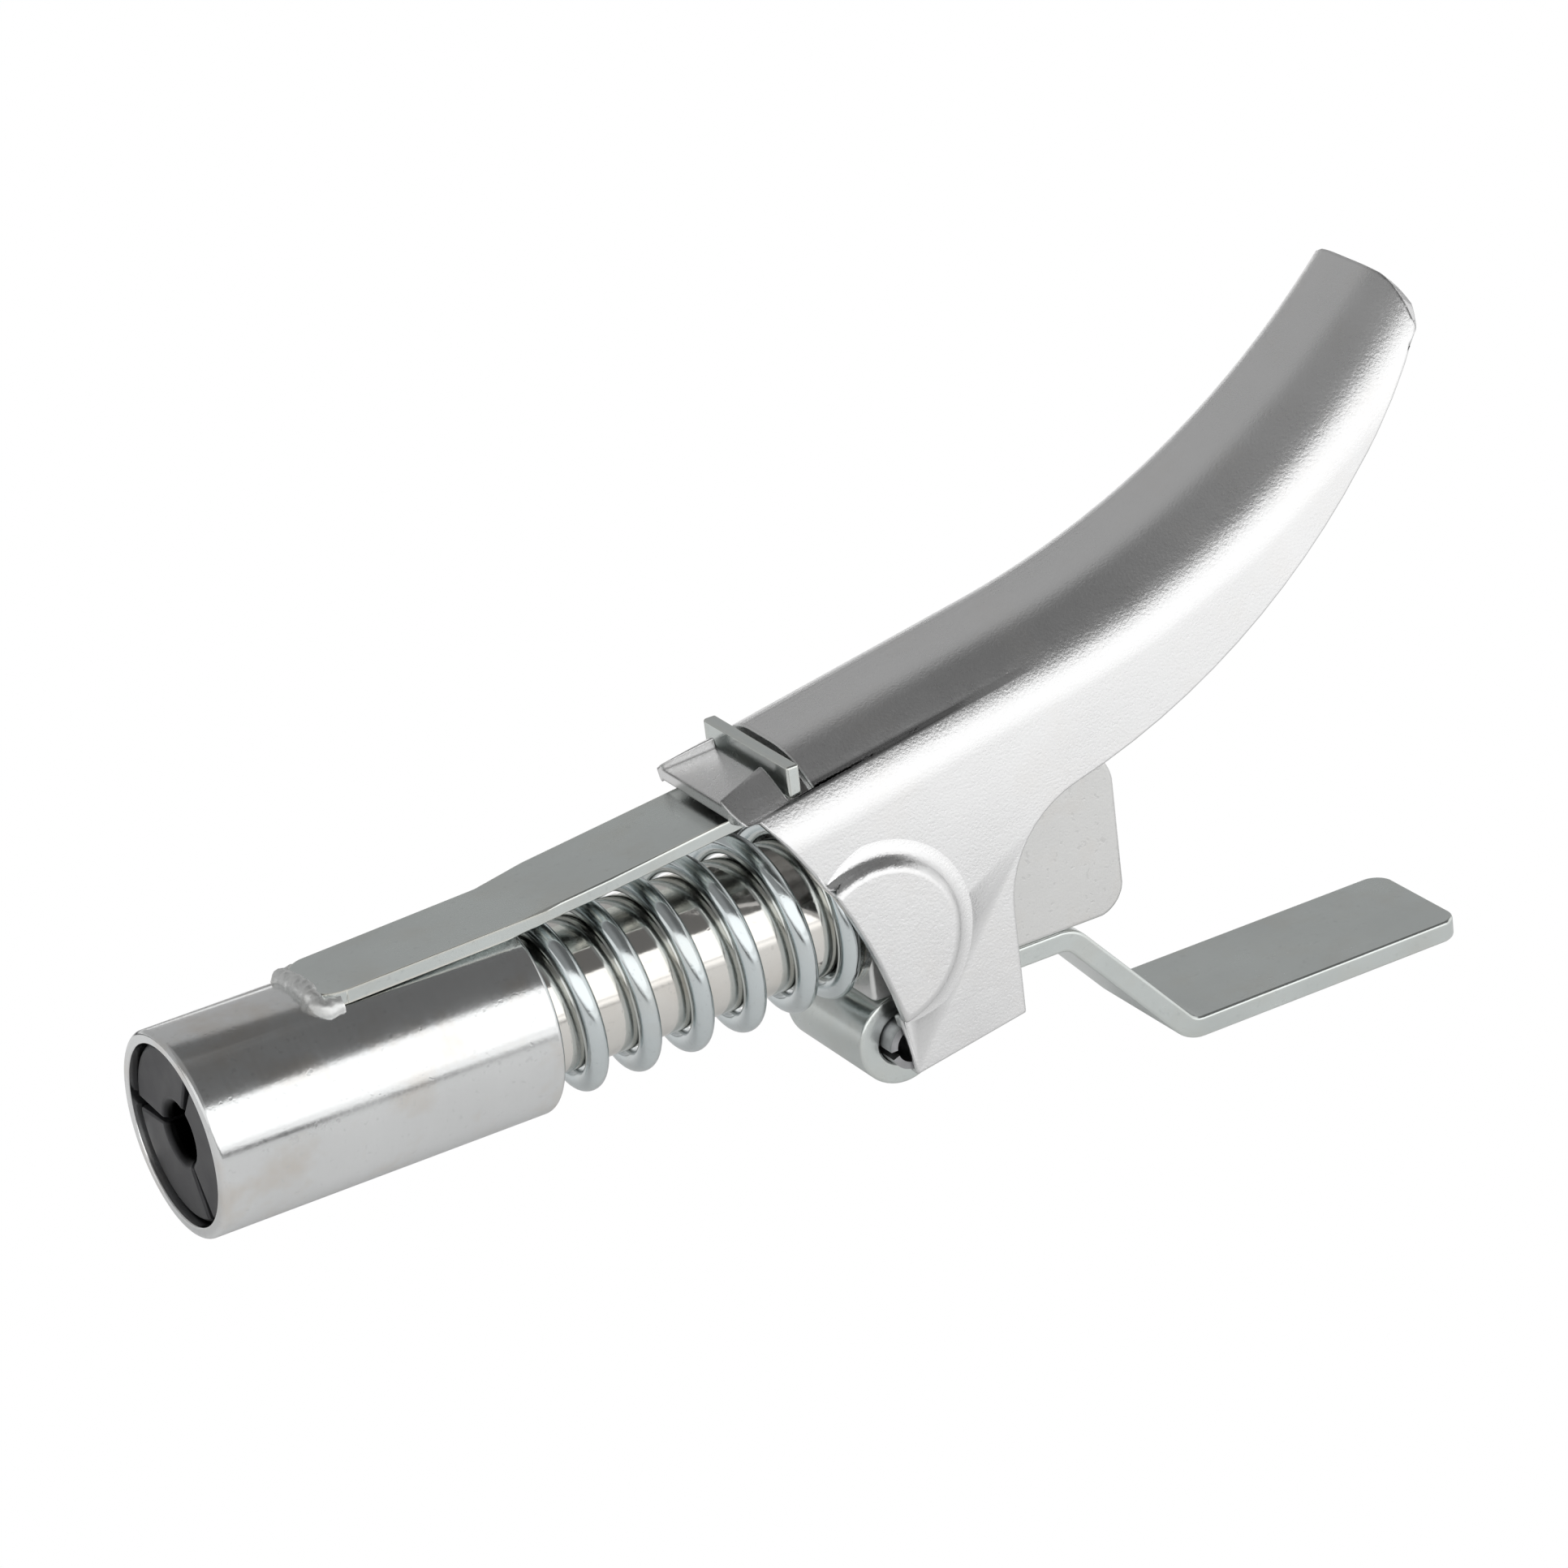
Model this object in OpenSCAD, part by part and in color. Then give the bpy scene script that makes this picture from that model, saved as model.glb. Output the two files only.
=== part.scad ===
// Locking grease coupler with a squeeze lever and a fixed lower handle.
// Millimetres. The origin is the mouth of the inlet thread in the body block's rear face,
// +X points out of the inlet, away from the nozzle, and +Z towards the lever.

/* [Sleeve] */
// Outside diameter of the sliding sleeve
sleeve_od = 22; // [20:0.5:26]
// Length of the sleeve
sleeve_len = 39; // [36:1:46]
// Thickness of the rim round the sleeve's mouth
sleeve_rim = 1.35; // [1.1:0.05:1.6]
// Length of the straight mouth in front of the closing cone
mouth_len = 2.5; // [1.5:0.5:4]
// Length of the closing cone inside the sleeve
cone_len = 14; // [12:0.5:15]
// Radial drop of the closing cone over its length
cone_drop = 1.4; // [1.1:0.05:1.5]
// Edge break on the sleeve's ends
sleeve_edge = 0.4; // [0.2:0.1:0.6]

/* [Jaws] */
// How far the jaws sit back from the sleeve's mouth
jaw_recess = 0.8; // [0.7:0.1:1.5]
// Radius of the lips that grip the fitting's neck
lip_r = 3; // [2.6:0.1:3.2]
// Length of the gripping lips
lip_len = 2.7; // [2:0.1:3]
// Radius of the pocket for the fitting's head
head_r = 3.5; // [3.4:0.05:3.7]
// Angle of the slit between two jaws
jaw_slit = 8; // [5:1:12]

/* [Nozzle stem] */
// Distance from the sleeve's mouth to the stem's front face
stem_setback = 8; // [7.5:0.1:8.5]
// Radius of the stem's front spigot
spigot_r = 4; // [3.8:0.1:4.2]
// Radius of the collar that holds the jaws
collar_r = 5.8; // [5.5:0.1:6]
// Length of the spigot in front of the collar
spigot_len = 3; // [2.6:0.1:3.2]
// Length of the collar
collar_len = 2.5; // [2:0.1:3]
// Radius of the neck behind the collar
neck_r = 4.3; // [4:0.1:4.5]
// Length of the jaws' inward hooks on the neck
hook_len = 3; // [2.5:0.1:3.4]
// Radius of the stem's shoulder
shoulder_r = 6.6; // [6:0.1:7]
// Length of the stem's shoulder
shoulder_len = 5; // [4:0.5:6]
// Radius of the threaded tail that screws into the tube
tail_thread_r = 4.75; // [4:0.25:5]
// Length of the threaded tail
tail_thread_len = 8; // [7:0.5:10]
// Radius of the grease passage
passage_r = 1.5; // [1.2:0.1:1.6]
// Radius of the rubber seal's face
seal_r = 3.1; // [2.9:0.1:3.2]
// How far the seal stands out of the stem
seal_proud = 1.2; // [0.8:0.1:1.5]
// Thickness of the sealing washer between stem and tube
seal_washer_t = 0.8; // [0.6:0.1:1]
// Thickness of the rubber ring that spreads the jaws
ring_t = 1.6; // [1.2:0.1:1.7]

/* [Check valve] */
// Radius of the check ball
ball_r = 1.75; // [1.65:0.05:1.8]
// Radius of the valve chamber
chamber_r = 2; // [1.95:0.05:2.3]
// Wire of the check spring
check_wire = 0.4; // [0.3:0.05:0.45]
// Turns of the check spring
check_turns = 5; // [4:1:7]

/* [Tube and spring] */
// Outside diameter of the body tube
tube_od = 15.6; // [15:0.1:16]
// Radius of the tube's spigot in the body block
tube_spigot_r = 6; // [5.5:0.1:6.5]
// Length of the tube's spigot
tube_spigot_len = 10; // [8:0.5:12]
// Length of the main spring with the jaws closed
spring_len = 36.4; // [34:0.2:42]
// Outside diameter of the main spring
spring_od = 20.9; // [20.7:0.1:21.2]
// Wire of the main spring
spring_wire = 2.4; // [2:0.1:2.5]
// Turns of the main spring
spring_turns = 6; // [5:1:7]
// Thickness of the spring's washer
washer_t = 1; // [0.8:0.1:1.5]
// Radius of the spring's washer
washer_r = 9.5; // [9.2:0.1:9.6]

/* [Body block] */
// Length of the body block
block_len = 31.8; // [30:0.2:36]
// Width of the body block
block_w = 15.4; // [14.8:0.2:16.6]
// Depth of the block below the tool's axis
block_drop = 9.7; // [9.6:0.1:11]
// Height of the block above the tool's axis
block_rise = 10; // [9:0.5:12]
// Rounding of the block's lower rear corner
block_round = 3.5; // [2:0.5:4]
// Rounding of the block's upper rear corner
block_top_round = 5; // [3:0.5:6]
// Radius of the inlet's thread
inlet_r = 4.35; // [4:0.05:5]
// Depth of the inlet's thread
inlet_len = 10; // [8:0.5:11]

/* [Lower handle] */
// Thickness of the handle's strip
handle_t = 2.45; // [2:0.05:2.8]
// Width of the handle's strip
handle_w = 15.3; // [14.6:0.1:16.4]
// Distance from the block's rear face forward to the first bend
handle_setback = 8.5; // [7.5:0.5:9]
// Drop from the block's underside to the grip
handle_drop = 16; // [12:0.5:20]
// Slope of the run between the two bends
handle_angle = 49; // [40:1:60]
// Inside radius of the bends
bend_r = 2; // [1.5:0.1:3]
// Length of the straight grip
grip_len = 34.4; // [30:0.2:45]
// Rounding of the grip's corners
grip_round = 2.5; // [1.5:0.5:4]
// Sweep of the rolled eye
eye_sweep = 300; // [270:5:310]
// Radius of the rivets that hold the handle to the block
rivet_r = 1.8; // [1.5:0.1:2]
// Depth of the rivets in the block
rivet_depth = 3.6; // [3:0.1:4]

/* [Pivot pin] */
// Radius of the rolled pivot pin
pin_r = 2.7; // [2.4:0.1:2.9]
// Wall of the rolled pivot pin
pin_wall = 0.8; // [0.6:0.1:1]
// Distance from the block's front face back to the pivot
pivot_setback = 3; // [2.6:0.2:4]

/* [Lever] */
// Outside width of the lever's channel
lever_w = 21; // [20.8:0.1:22]
// Sheet thickness of the lever
lever_t = 1.4; // [1.2:0.1:1.5]
// Rounding of the channel's shoulders
shoulder_round = 8.5; // [8:0.5:9]
// Slope of the lever's straight front part
lever_pitch = 10.2; // [9:0.2:11]
// Height of the crown above the tool's axis where the tail begins
crown_rise = 25.7; // [25.2:0.1:27]
// Distance from the pivot back to the tail's start
tail_setback = 20.6; // [19:0.2:23]
// Radius of the tail's curved crown
tail_r = 90; // [80:1:110]
// Sweep of the tail
tail_sweep = 35; // [30:1:38]
// Rounding of the tail's tip, seen from above
tip_round = 6; // [4:0.5:8]
// Radius of the tail's lower edge
tail_edge_r = 74; // [70:0.5:80]
// Depth of the channel where the tail's lower edge begins
tail_depth = 17.6; // [17:0.1:18.4]
// Length of the straight front part along the crown
front_len = 38.4; // [37.4:0.2:39.6]
// Length of the lip in front of the slot
lip_reach = 6.1; // [5:0.1:7]
// How far the lip is pressed below the crown
lip_press = 1.7; // [1.5:0.1:1.8]
// Width of the pressed lip at its front
lip_w = 12.4; // [12:0.2:13]
// Rounding of the lip's front corners, seen from above
lip_round = 4; // [3:0.5:5]
// Free length of the slot beside the strap's hook
slot_play = 1.4; // [1.2:0.1:2]
// Radius of the side plates' hollow front edge
front_edge_r = 72.4; // [68:0.2:76]
// How far the front edge lies ahead of the pivot, at the pivot's height
front_edge_lead = 0.8; // [0.5:0.1:1.5]
// How far the side plates reach behind the pivot
plate_reach = 13.6; // [12.8:0.2:15]
// How far the side plates reach below the pivot
plate_drop = 3.2; // [3:0.2:5]
// Fillet between the side plate and the tail
plate_fillet = 12; // [8:0.5:13]
// Radius of the raised boss that clears the spring
boss_r = 10.4; // [10:0.1:10.8]
// Height of the raised boss
boss_rise = 1.6; // [1.5:0.1:2]
// Depth of the pin's pockets in the side plates
pin_pocket = 0.7; // [0.5:0.1:0.9]

/* [Pull strap] */
// Thickness of the strap
strap_t = 1.5; // [1.2:0.1:1.8]
// Width of the strap on the sleeve
strap_w = 9.8; // [9:0.2:10.4]
// Width of the strap between the sleeve and the lever
strap_wide = 11.2; // [10.6:0.2:13]
// Width of the hook's head
hook_w = 17; // [15:0.2:17.4]
// Height of the hook's top above the lip
hook_proud = 1.8; // [1.6:0.1:2.4]
// Distance from the sleeve's mouth to the strap's end
strap_setback = 16; // [14:0.2:17]
// Depth of the strap's flat in the sleeve, at the strap's end
strap_seat = 1.2; // [0.8:0.1:1.5]
// Rounding of the strap's end
strap_round = 3; // [1:0.5:4]
// Radius of the weld beads
weld_r = 0.8; // [0.6:0.1:1]
// Length of the weld beads
weld_len = 1.8; // [1.4:0.1:2.2]

/* [Fits] */
// Radial clearance of turned parts that slide or turn
run_fit = 0.05; // [0.02:0.01:0.08]
// Radial clearance of parts that are pressed or screwed together
seat_fit = 0.03; // [0.02:0.01:0.05]
// Gap between the jaws and the sleeve's cone
jaw_gap = 0.25; // [0.15:0.05:0.3]
// Gap between loose neighbouring faces
loose_gap = 0.2; // [0.15:0.05:0.3]
// Gap between the strap and the main spring
strap_gap = 0.3; // [0.2:0.1:0.6]
// Gap between the hook and the slot's front wall
hook_gap = 0.4; // [0.3:0.05:0.6]

/* [Hidden] */
$fn = 64;

zinc = "#c9ccce";
bright_zinc = "#dfe3e4";
black_oxide = "#2b2b2d";
nitrile = "#1c1c1e";
copper = "#b87349";
over = 1;           // how far a cut runs past the face it opens
corner_bulge = 0.03; // lets a rounded corner meet its two edges at a slight angle

// Stations along the tool's axis, from the inlet forwards
block_x0 = -block_len;
washer_x0 = block_x0 - washer_t;
spring_x0 = washer_x0 - spring_len;
sleeve_x0 = spring_x0 - sleeve_len;
jaw_x0 = sleeve_x0 + jaw_recess;
stem_x0 = sleeve_x0 + stem_setback;
collar_x0 = stem_x0 + spigot_len;
neck_x0 = collar_x0 + collar_len;
neck_len = hook_len + 2 * loose_gap;
shoulder_x0 = neck_x0 + neck_len;
tip_washer_x0 = shoulder_x0 + shoulder_len;
tube_x0 = tip_washer_x0 + seal_washer_t;
valve_seat_x = tube_x0 + tail_thread_len + loose_gap;

// Sleeve, tube and jaws
sleeve_r = sleeve_od / 2;
mouth_r = sleeve_r - sleeve_rim;
cone_end_r = mouth_r - cone_drop;
tube_r = tube_od / 2;
guide_r = tube_r + run_fit;
guide_lead = 2;             // the guide bore starts this far ahead of the tube
guide_start = tube_x0 - sleeve_x0 - guide_lead;
jaw_cavity_r = collar_r + loose_gap;
jaw_hook_r = neck_r + loose_gap;
jaw_len = neck_x0 + loose_gap + hook_len - jaw_x0;
jaw_nose = 0.4;             // bevel round the jaws' outer front edge
lip_bevel = 0.7;            // bevel round the lips' front edge
lip_back = 0.5;             // axial run of the slope behind the lips
function cone_r(x) = mouth_r - cone_drop * max(0, x - mouth_len) / cone_len;

// Main spring
spring_r = spring_od / 2;
spring_mean_r = (spring_od - spring_wire) / 2;

// Lower handle and pivot
eye_r = pin_r + seat_fit + handle_t;
handle_z = -block_drop;
pivot_x = block_x0 + pivot_setback;
pivot_z = handle_z - eye_r;
bend_x = -handle_setback;
bend_outer = bend_r + handle_t;
slope_len = (handle_drop - (bend_outer + bend_r) * (1 - cos(handle_angle))) / sin(handle_angle);
upper_bend = [bend_x, handle_z - bend_outer];
slope_start = upper_bend + bend_outer * [sin(handle_angle), cos(handle_angle)];
slope_end = slope_start + slope_len * [cos(handle_angle), -sin(handle_angle)];
lower_bend = slope_end + bend_r * [sin(handle_angle), cos(handle_angle)];
grip_z = lower_bend.y - bend_r;
grip_x1 = lower_bend.x + grip_len;
rivet_head_h = 0.9;
rivet_head_r = rivet_r + rivet_head_h;
rivet_xs = [bend_x - rivet_head_r - over, block_x0 + tube_spigot_len + rivet_r + loose_gap];

// Lever: the crown's straight part ends at crown_end, where the tail's curve begins
lever_half = lever_w / 2;
lever_inner = lever_half - lever_t;
crown_end = [pivot_x + tail_setback, crown_rise];
crown_dir = [cos(lever_pitch), sin(lever_pitch)];
crown_up = [-sin(lever_pitch), cos(lever_pitch)];
function on_lever(along, up) = crown_end + along * crown_dir + up * crown_up;
tail_edge_start = on_lever(0, -tail_depth);
tail_edge_turn = 4.6;       // the tail's lower edge starts this much steeper than the crown
tail_edge_tilt = lever_pitch + tail_edge_turn;
tail_edge_axis = tail_edge_start + tail_edge_r * [-sin(tail_edge_tilt), cos(tail_edge_tilt)];
plate_x1 = pivot_x + plate_reach;
plate_z0 = pivot_z - plate_drop;
plate_corner = 2.4;         // rise of the plates' lower edge towards the rear
channel_depth = 1.5 * (crown_rise - plate_z0);
fillet_x = plate_x1 + plate_fillet;
fillet_gap = tail_edge_r + plate_fillet;
fillet_axis = [fillet_x, tail_edge_axis.y - sqrt(fillet_gap * fillet_gap
                                                 - pow(fillet_x - tail_edge_axis.x, 2))];
fillet_end = atan2(tail_edge_axis.y - fillet_axis.y, tail_edge_axis.x - fillet_axis.x);
tail_edge_step = 3;         // angle of one step along the tail's lower edge
tail_edge_sweep = 60;       // sweep of the tail's lower edge, past the tip
front_edge_drop = 13.6;     // the front edge's centre lies this far below the pivot
front_edge_axis = [pivot_x - front_edge_lead
                   - sqrt(front_edge_r * front_edge_r - front_edge_drop * front_edge_drop),
                   pivot_z - front_edge_drop];
boss_axis = [block_x0 - loose_gap, pivot_z + pin_r + boss_r];
boss_slope = 1.2;           // radial run of the boss's sloping rim
boss_wall = 0.5;            // how much smaller the boss is inside than outside
slot_along = lip_reach - front_len;
slot_half = hook_w / 2 + 1.5 * loose_gap;
slot_len = strap_t + slot_play;
lip_neck = 0.36 * lip_w;    // half the pressed lip's width at the slot
lip_lap = 0.8;              // how far the lip runs under the shoulders beside it
lip_under = lip_press + lever_t;
lip_skirt = 0.4;            // how far the legs' front reaches below the lip
lip_foot = on_lever(-front_len, -lip_under - lip_skirt);
slot_depth = shoulder_round;
pin_half = lever_inner + pin_pocket - loose_gap / 2;
pin_slit = 20;              // angle of the slit along the rolled pin

// Pull strap: seated on the sleeve, ramped to the lever, and turned up through the slot
strap_x0 = sleeve_x0 + strap_setback;
strap_rest_z = sleeve_r - strap_seat;
ramp_x0 = spring_x0 - loose_gap;
ramp_z = spring_r + strap_gap;
strap_tilt = atan((ramp_z - strap_rest_z) / (ramp_x0 - strap_x0));
slot_edge = on_lever(slot_along, -lip_under);
strap_hook_x = slot_edge.x + hook_gap;
strap_lip_drop = 1.2;       // strap's top below the slot's edge, where it turns up
strap_end_z = slot_edge.y - strap_lip_drop - strap_t;
hook_top_z = on_lever(slot_along, -lip_press).y + hook_proud;
ear_lift = 0.8;             // height from the strap's top up to the hook's ears
ear_z = strap_end_z + strap_t + ear_lift;
strap_flare = 6;            // length over which the strap widens behind the sleeve

// Extrudes a side view, drawn in X and Z, across the tool's width
module across(w) rotate([90, 0, 0]) linear_extrude(w, center = true) children();

// Revolves [radius, x] points about the tool's axis
module turned(points) rotate([0, 90, 0]) rotate_extrude() polygon(points);

// A round bar along X from x0 to x1
module bar(r, x0, x1) translate([x0, 0, 0]) rotate([0, 90, 0]) cylinder(r = r, h = x1 - x0);

// A round bar across the tool at a point of the side view
module cross_bar(p, r, half) translate([p.x, 0, p.y]) rotate([90, 0, 0])
    cylinder(r = r, h = 2 * half, center = true);

// A ring's sector from angle a0, counter-clockwise through sweep degrees
module sector(r0, r1, a0, sweep) rotate(a0) difference() {
    circle(r1);
    if (r0 > 0) circle(r0);
    if (sweep < 180) rotate(180) pie(2 * r1, 180);
    rotate(sweep) pie(2 * r1, min(180, 360 - sweep));
}

// A flat wedge of up to half a turn, starting along +X
module pie(r, sweep) intersection() {
    translate([-r, 0]) square([2 * r, r]);
    if (sweep < 180) rotate(sweep - 180) translate([-r, 0]) square([2 * r, r]);
}

// Points along an arc from angle a0 to a1
function arc(c, r, a0, a1, steps = 10) = [for (i = [0:steps])
    let (a = a0 + (a1 - a0) * i / steps) c + r * [cos(a), sin(a)]];

// The waste outside a rounded corner whose tip is at the origin, with the part towards -X and -Y
module corner_waste(r) difference() {
    translate([-r, -r]) square(r + over);
    translate([-r, -r]) circle(r + corner_bulge);
}

// A round-wire compression spring along X: each end has half a turn wound close
module coil(x0, x1, mean_r, wire, turns, sides, steps) {
    close_turn = 0.5;
    close_pitch = 1.08 * wire;
    close_rise = close_turn * close_pitch;
    run = x1 - x0 - wire - 2 * close_rise;
    pitch = run / (turns - 2 * close_turn);
    function height(t) = t < close_turn ? close_rise * t / close_turn
        : t < turns - close_turn ? close_rise + pitch * (t - close_turn)
        : close_rise + run + close_rise * (t - turns + close_turn) / close_turn;
    lean = atan(pitch / (2 * PI * mean_r));
    rings = turns * steps;
    points = [for (i = [0:rings], k = [0:sides - 1])
        let (t = i / steps, a = 360 * t - 90, b = 360 * k / sides,
             r = mean_r + wire / 2 * cos(b), s = wire / 2 * sin(b))
        [x0 + wire / 2 + height(t) + s * cos(lean),
         r * cos(a) + s * sin(lean) * sin(a),
         r * sin(a) - s * sin(lean) * cos(a)]];
    walls = [for (i = [0:rings - 1], k = [0:sides - 1], half = [0, 1])
        let (n = (k + 1) % sides, a = i * sides, b = a + sides)
        half == 0 ? [a + k, a + n, b + n] : [a + k, b + n, b + k]];
    first = [for (k = [sides - 1:-1:0]) k];
    last = [for (k = [0:sides - 1]) rings * sides + k];
    polyhedron(points, concat(walls, [first, last]), convexity = 12);
}

// Sleeve with its closing cone, guide bore and the flat under the strap
module sleeve() color(bright_zinc) difference() {
    translate([sleeve_x0, 0, 0]) turned([
        [mouth_r, 0], [sleeve_r - sleeve_edge, 0], [sleeve_r, sleeve_edge],
        [sleeve_r, sleeve_len - sleeve_edge], [sleeve_r - sleeve_edge, sleeve_len],
        [guide_r, sleeve_len], [guide_r, guide_start], [cone_end_r, guide_start],
        [cone_end_r, mouth_len + cone_len],
        [mouth_r, mouth_len]]);
    translate([strap_x0, 0, strap_rest_z]) rotate([0, -strap_tilt, 0])
        translate([0, -sleeve_r, 0]) cube([2 * sleeve_len, sleeve_od, sleeve_r]);
}

// Strap's outline from the side
module strap_side() {
    polygon([[strap_x0, strap_rest_z], [ramp_x0, ramp_z], [strap_hook_x, strap_end_z],
             [strap_hook_x, strap_end_z + strap_t], [ramp_x0, ramp_z + strap_t],
             [strap_x0, strap_rest_z + strap_t]]);
    translate([strap_hook_x, strap_end_z + strap_t]) {
        sector(0, strap_t, 270, 90);
        square([strap_t, hook_top_z - strap_end_z - strap_t]);
    }
}

// Strap's outline from above
module strap_plan() difference() {
    polygon([for (s = [1, -1], p = [
        [strap_x0, strap_w / 2], [ramp_x0, strap_w / 2],
        [ramp_x0 + strap_flare, strap_wide / 2], [strap_hook_x + 2 * strap_t, strap_wide / 2]])
        s > 0 ? p : [strap_x0 + strap_hook_x + 2 * strap_t - p.x,
                     -half_width(strap_x0 + strap_hook_x + 2 * strap_t - p.x)]]);
    for (s = [1, -1]) translate([strap_x0, s * strap_w / 2]) mirror([1, 0]) mirror([0, s < 0 ? 1 : 0])
        corner_waste(strap_round);
}
function half_width(x) = x <= ramp_x0 ? strap_w / 2
    : strap_w / 2 + (strap_wide - strap_w) / 2 * min(1, (x - ramp_x0) / strap_flare);

module pull_strap() color(zinc) {
    intersection() {
        across(hook_w) strap_side();
        linear_extrude(4 * sleeve_r) strap_plan();
    }
    translate([strap_hook_x, -hook_w / 2, ear_z]) cube([strap_t, hook_w, hook_top_z - ear_z]);
}

// A weld bead on the sleeve's surface, laid across the tool and turned about the vertical
module bead(x, y, turn) translate([x, y, sqrt(sleeve_r * sleeve_r - y * y) - weld_r / 2])
    rotate([0, 0, turn]) rotate([90, 0, 0]) {
        cylinder(r = weld_r, h = weld_len, center = true);
        for (s = [1, -1]) translate([0, 0, s * weld_len / 2]) sphere(weld_r);
    }

// Welds that fix the strap's front edge and its two rounded corners to the sleeve
corner_turn = 45;
corner_y = strap_w / 2 - strap_round * (1 - sin(corner_turn));
module strap_weld() color(zinc) {
    bead(strap_x0, 0, 0);
    for (s = [1, -1])
        bead(strap_x0 + strap_round * (1 - cos(corner_turn)), s * corner_y, -s * corner_turn);
}

// One of three jaws, centred on the given angle about the tool's axis
module jaw(angle) color(black_oxide) rotate([angle, 0, 0]) rotate([0, 90, 0])
    rotate(jaw_slit / 2 + 120) rotate_extrude(angle = 120 - jaw_slit) polygon([
        [lip_r + lip_bevel, jaw_x0], [mouth_r - jaw_gap - jaw_nose, jaw_x0],
        [mouth_r - jaw_gap, jaw_x0 + jaw_nose],
        [mouth_r - jaw_gap, max(sleeve_x0 + mouth_len, jaw_x0 + 1.5 * jaw_nose)],
        [cone_r(jaw_recess + jaw_len) - jaw_gap, jaw_x0 + jaw_len],
        [jaw_hook_r, jaw_x0 + jaw_len], [jaw_hook_r, neck_x0 + loose_gap],
        [jaw_cavity_r, neck_x0 + loose_gap], [jaw_cavity_r, stem_x0],
        [head_r, stem_x0 - over], [head_r, jaw_x0 + lip_len + lip_back],
        [lip_r, jaw_x0 + lip_len], [lip_r, jaw_x0 + lip_bevel]]);
jaw_turn = -30;             // turn of the first jaw from the top
module jaw_1() jaw(jaw_turn);
module jaw_2() jaw(jaw_turn + 120);
module jaw_3() jaw(jaw_turn + 240);

// Rubber ring on the spigot that spreads the jaws when the sleeve draws back
module jaw_ring() color(nitrile) translate([stem_x0 + spigot_len / 2, 0, 0]) rotate([0, 90, 0])
    rotate_extrude() translate([spigot_r + seat_fit + ring_t / 2, 0]) circle(ring_t / 2);

// Nozzle stem with the collar that holds the jaws and the valve chamber in its tail
seal_bevel = 0.4;
seal_dish = 0.6;            // depth of the dish in the seal's face
seal_shank_r = seal_r - seal_dish;
seal_shank_len = 2;
chamber_x0 = shoulder_x0 + shoulder_len / 2;
module nozzle_tip() color(zinc) turned([
    [seal_shank_r + seat_fit, stem_x0], [spigot_r, stem_x0], [spigot_r, collar_x0],
    [collar_r, collar_x0], [collar_r, neck_x0], [neck_r, neck_x0], [neck_r, shoulder_x0],
    [shoulder_r, shoulder_x0], [shoulder_r, tip_washer_x0], [tail_thread_r, tip_washer_x0],
    [tail_thread_r, tube_x0 + tail_thread_len], [chamber_r, tube_x0 + tail_thread_len],
    [chamber_r, chamber_x0], [passage_r, chamber_x0 - chamber_r + passage_r],
    [passage_r, stem_x0 + seal_shank_len], [seal_shank_r + seat_fit, stem_x0 + seal_shank_len]]);

// Rubber seal that presses on the fitting's head
module nozzle_seal() color(nitrile) turned([
    [passage_r, stem_x0 - seal_proud + seal_dish], [seal_shank_r, stem_x0 - seal_proud],
    [seal_r, stem_x0 - seal_proud + seal_bevel], [seal_r, stem_x0], [seal_shank_r, stem_x0],
    [seal_shank_r, stem_x0 + seal_shank_len], [passage_r, stem_x0 + seal_shank_len]]);

module tip_washer() color(copper) difference() {
    bar(shoulder_r, tip_washer_x0, tube_x0);
    bar(tail_thread_r + seat_fit, tip_washer_x0 - over, tube_x0 + over);
}

// Check ball, held on the edge of the tube's passage by its spring
ball_x = valve_seat_x - sqrt(ball_r * ball_r - passage_r * passage_r) - seat_fit;
module check_ball() color("silver") translate([ball_x, 0, 0]) rotate([0, 90, 0]) sphere(ball_r);
check_spring_x1 = ball_x - 0.8 * ball_r;
module check_spring() color(bright_zinc) coil(chamber_x0, check_spring_x1,
    chamber_r - loose_gap - check_wire / 2, check_wire, check_turns, 8, 12);

// Tube that carries the nozzle, guides the sleeve and plugs into the block
module body_tube() color(bright_zinc) difference() {
    union() {
        bar(tube_r, tube_x0, washer_x0);
        bar(tube_spigot_r, washer_x0 - over, block_x0 + tube_spigot_len);
    }
    bar(tail_thread_r + seat_fit, tube_x0 - over, valve_seat_x);
    bar(passage_r, tube_x0, block_x0 + tube_spigot_len + over);
}

module spring_washer() color(zinc) difference() {
    bar(washer_r, washer_x0, block_x0);
    bar(tube_spigot_r + seat_fit, washer_x0 - over, block_x0 + over);
}

module main_spring() color(bright_zinc)
    coil(spring_x0, washer_x0, spring_mean_r, spring_wire, spring_turns, 10, 20);

// Body block with the tube's bore, the passage and the inlet
module body_block() color("#d6d7d6") difference() {
    across(block_w) difference() {
        translate([block_x0, -block_drop]) square([block_len, block_drop + block_rise]);
        translate([0, block_rise]) corner_waste(block_top_round);
        translate([0, -block_drop]) mirror([0, 1]) corner_waste(block_round);
    }
    bar(tube_spigot_r + seat_fit, block_x0 - over, block_x0 + tube_spigot_len + loose_gap);
    bar(passage_r, block_x0, 0);
    bar(inlet_r, -inlet_len, over);
    for (x = rivet_xs) translate([x, 0, -block_drop - over])
        cylinder(r = rivet_r + seat_fit, h = over + rivet_depth + loose_gap);
}

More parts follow.
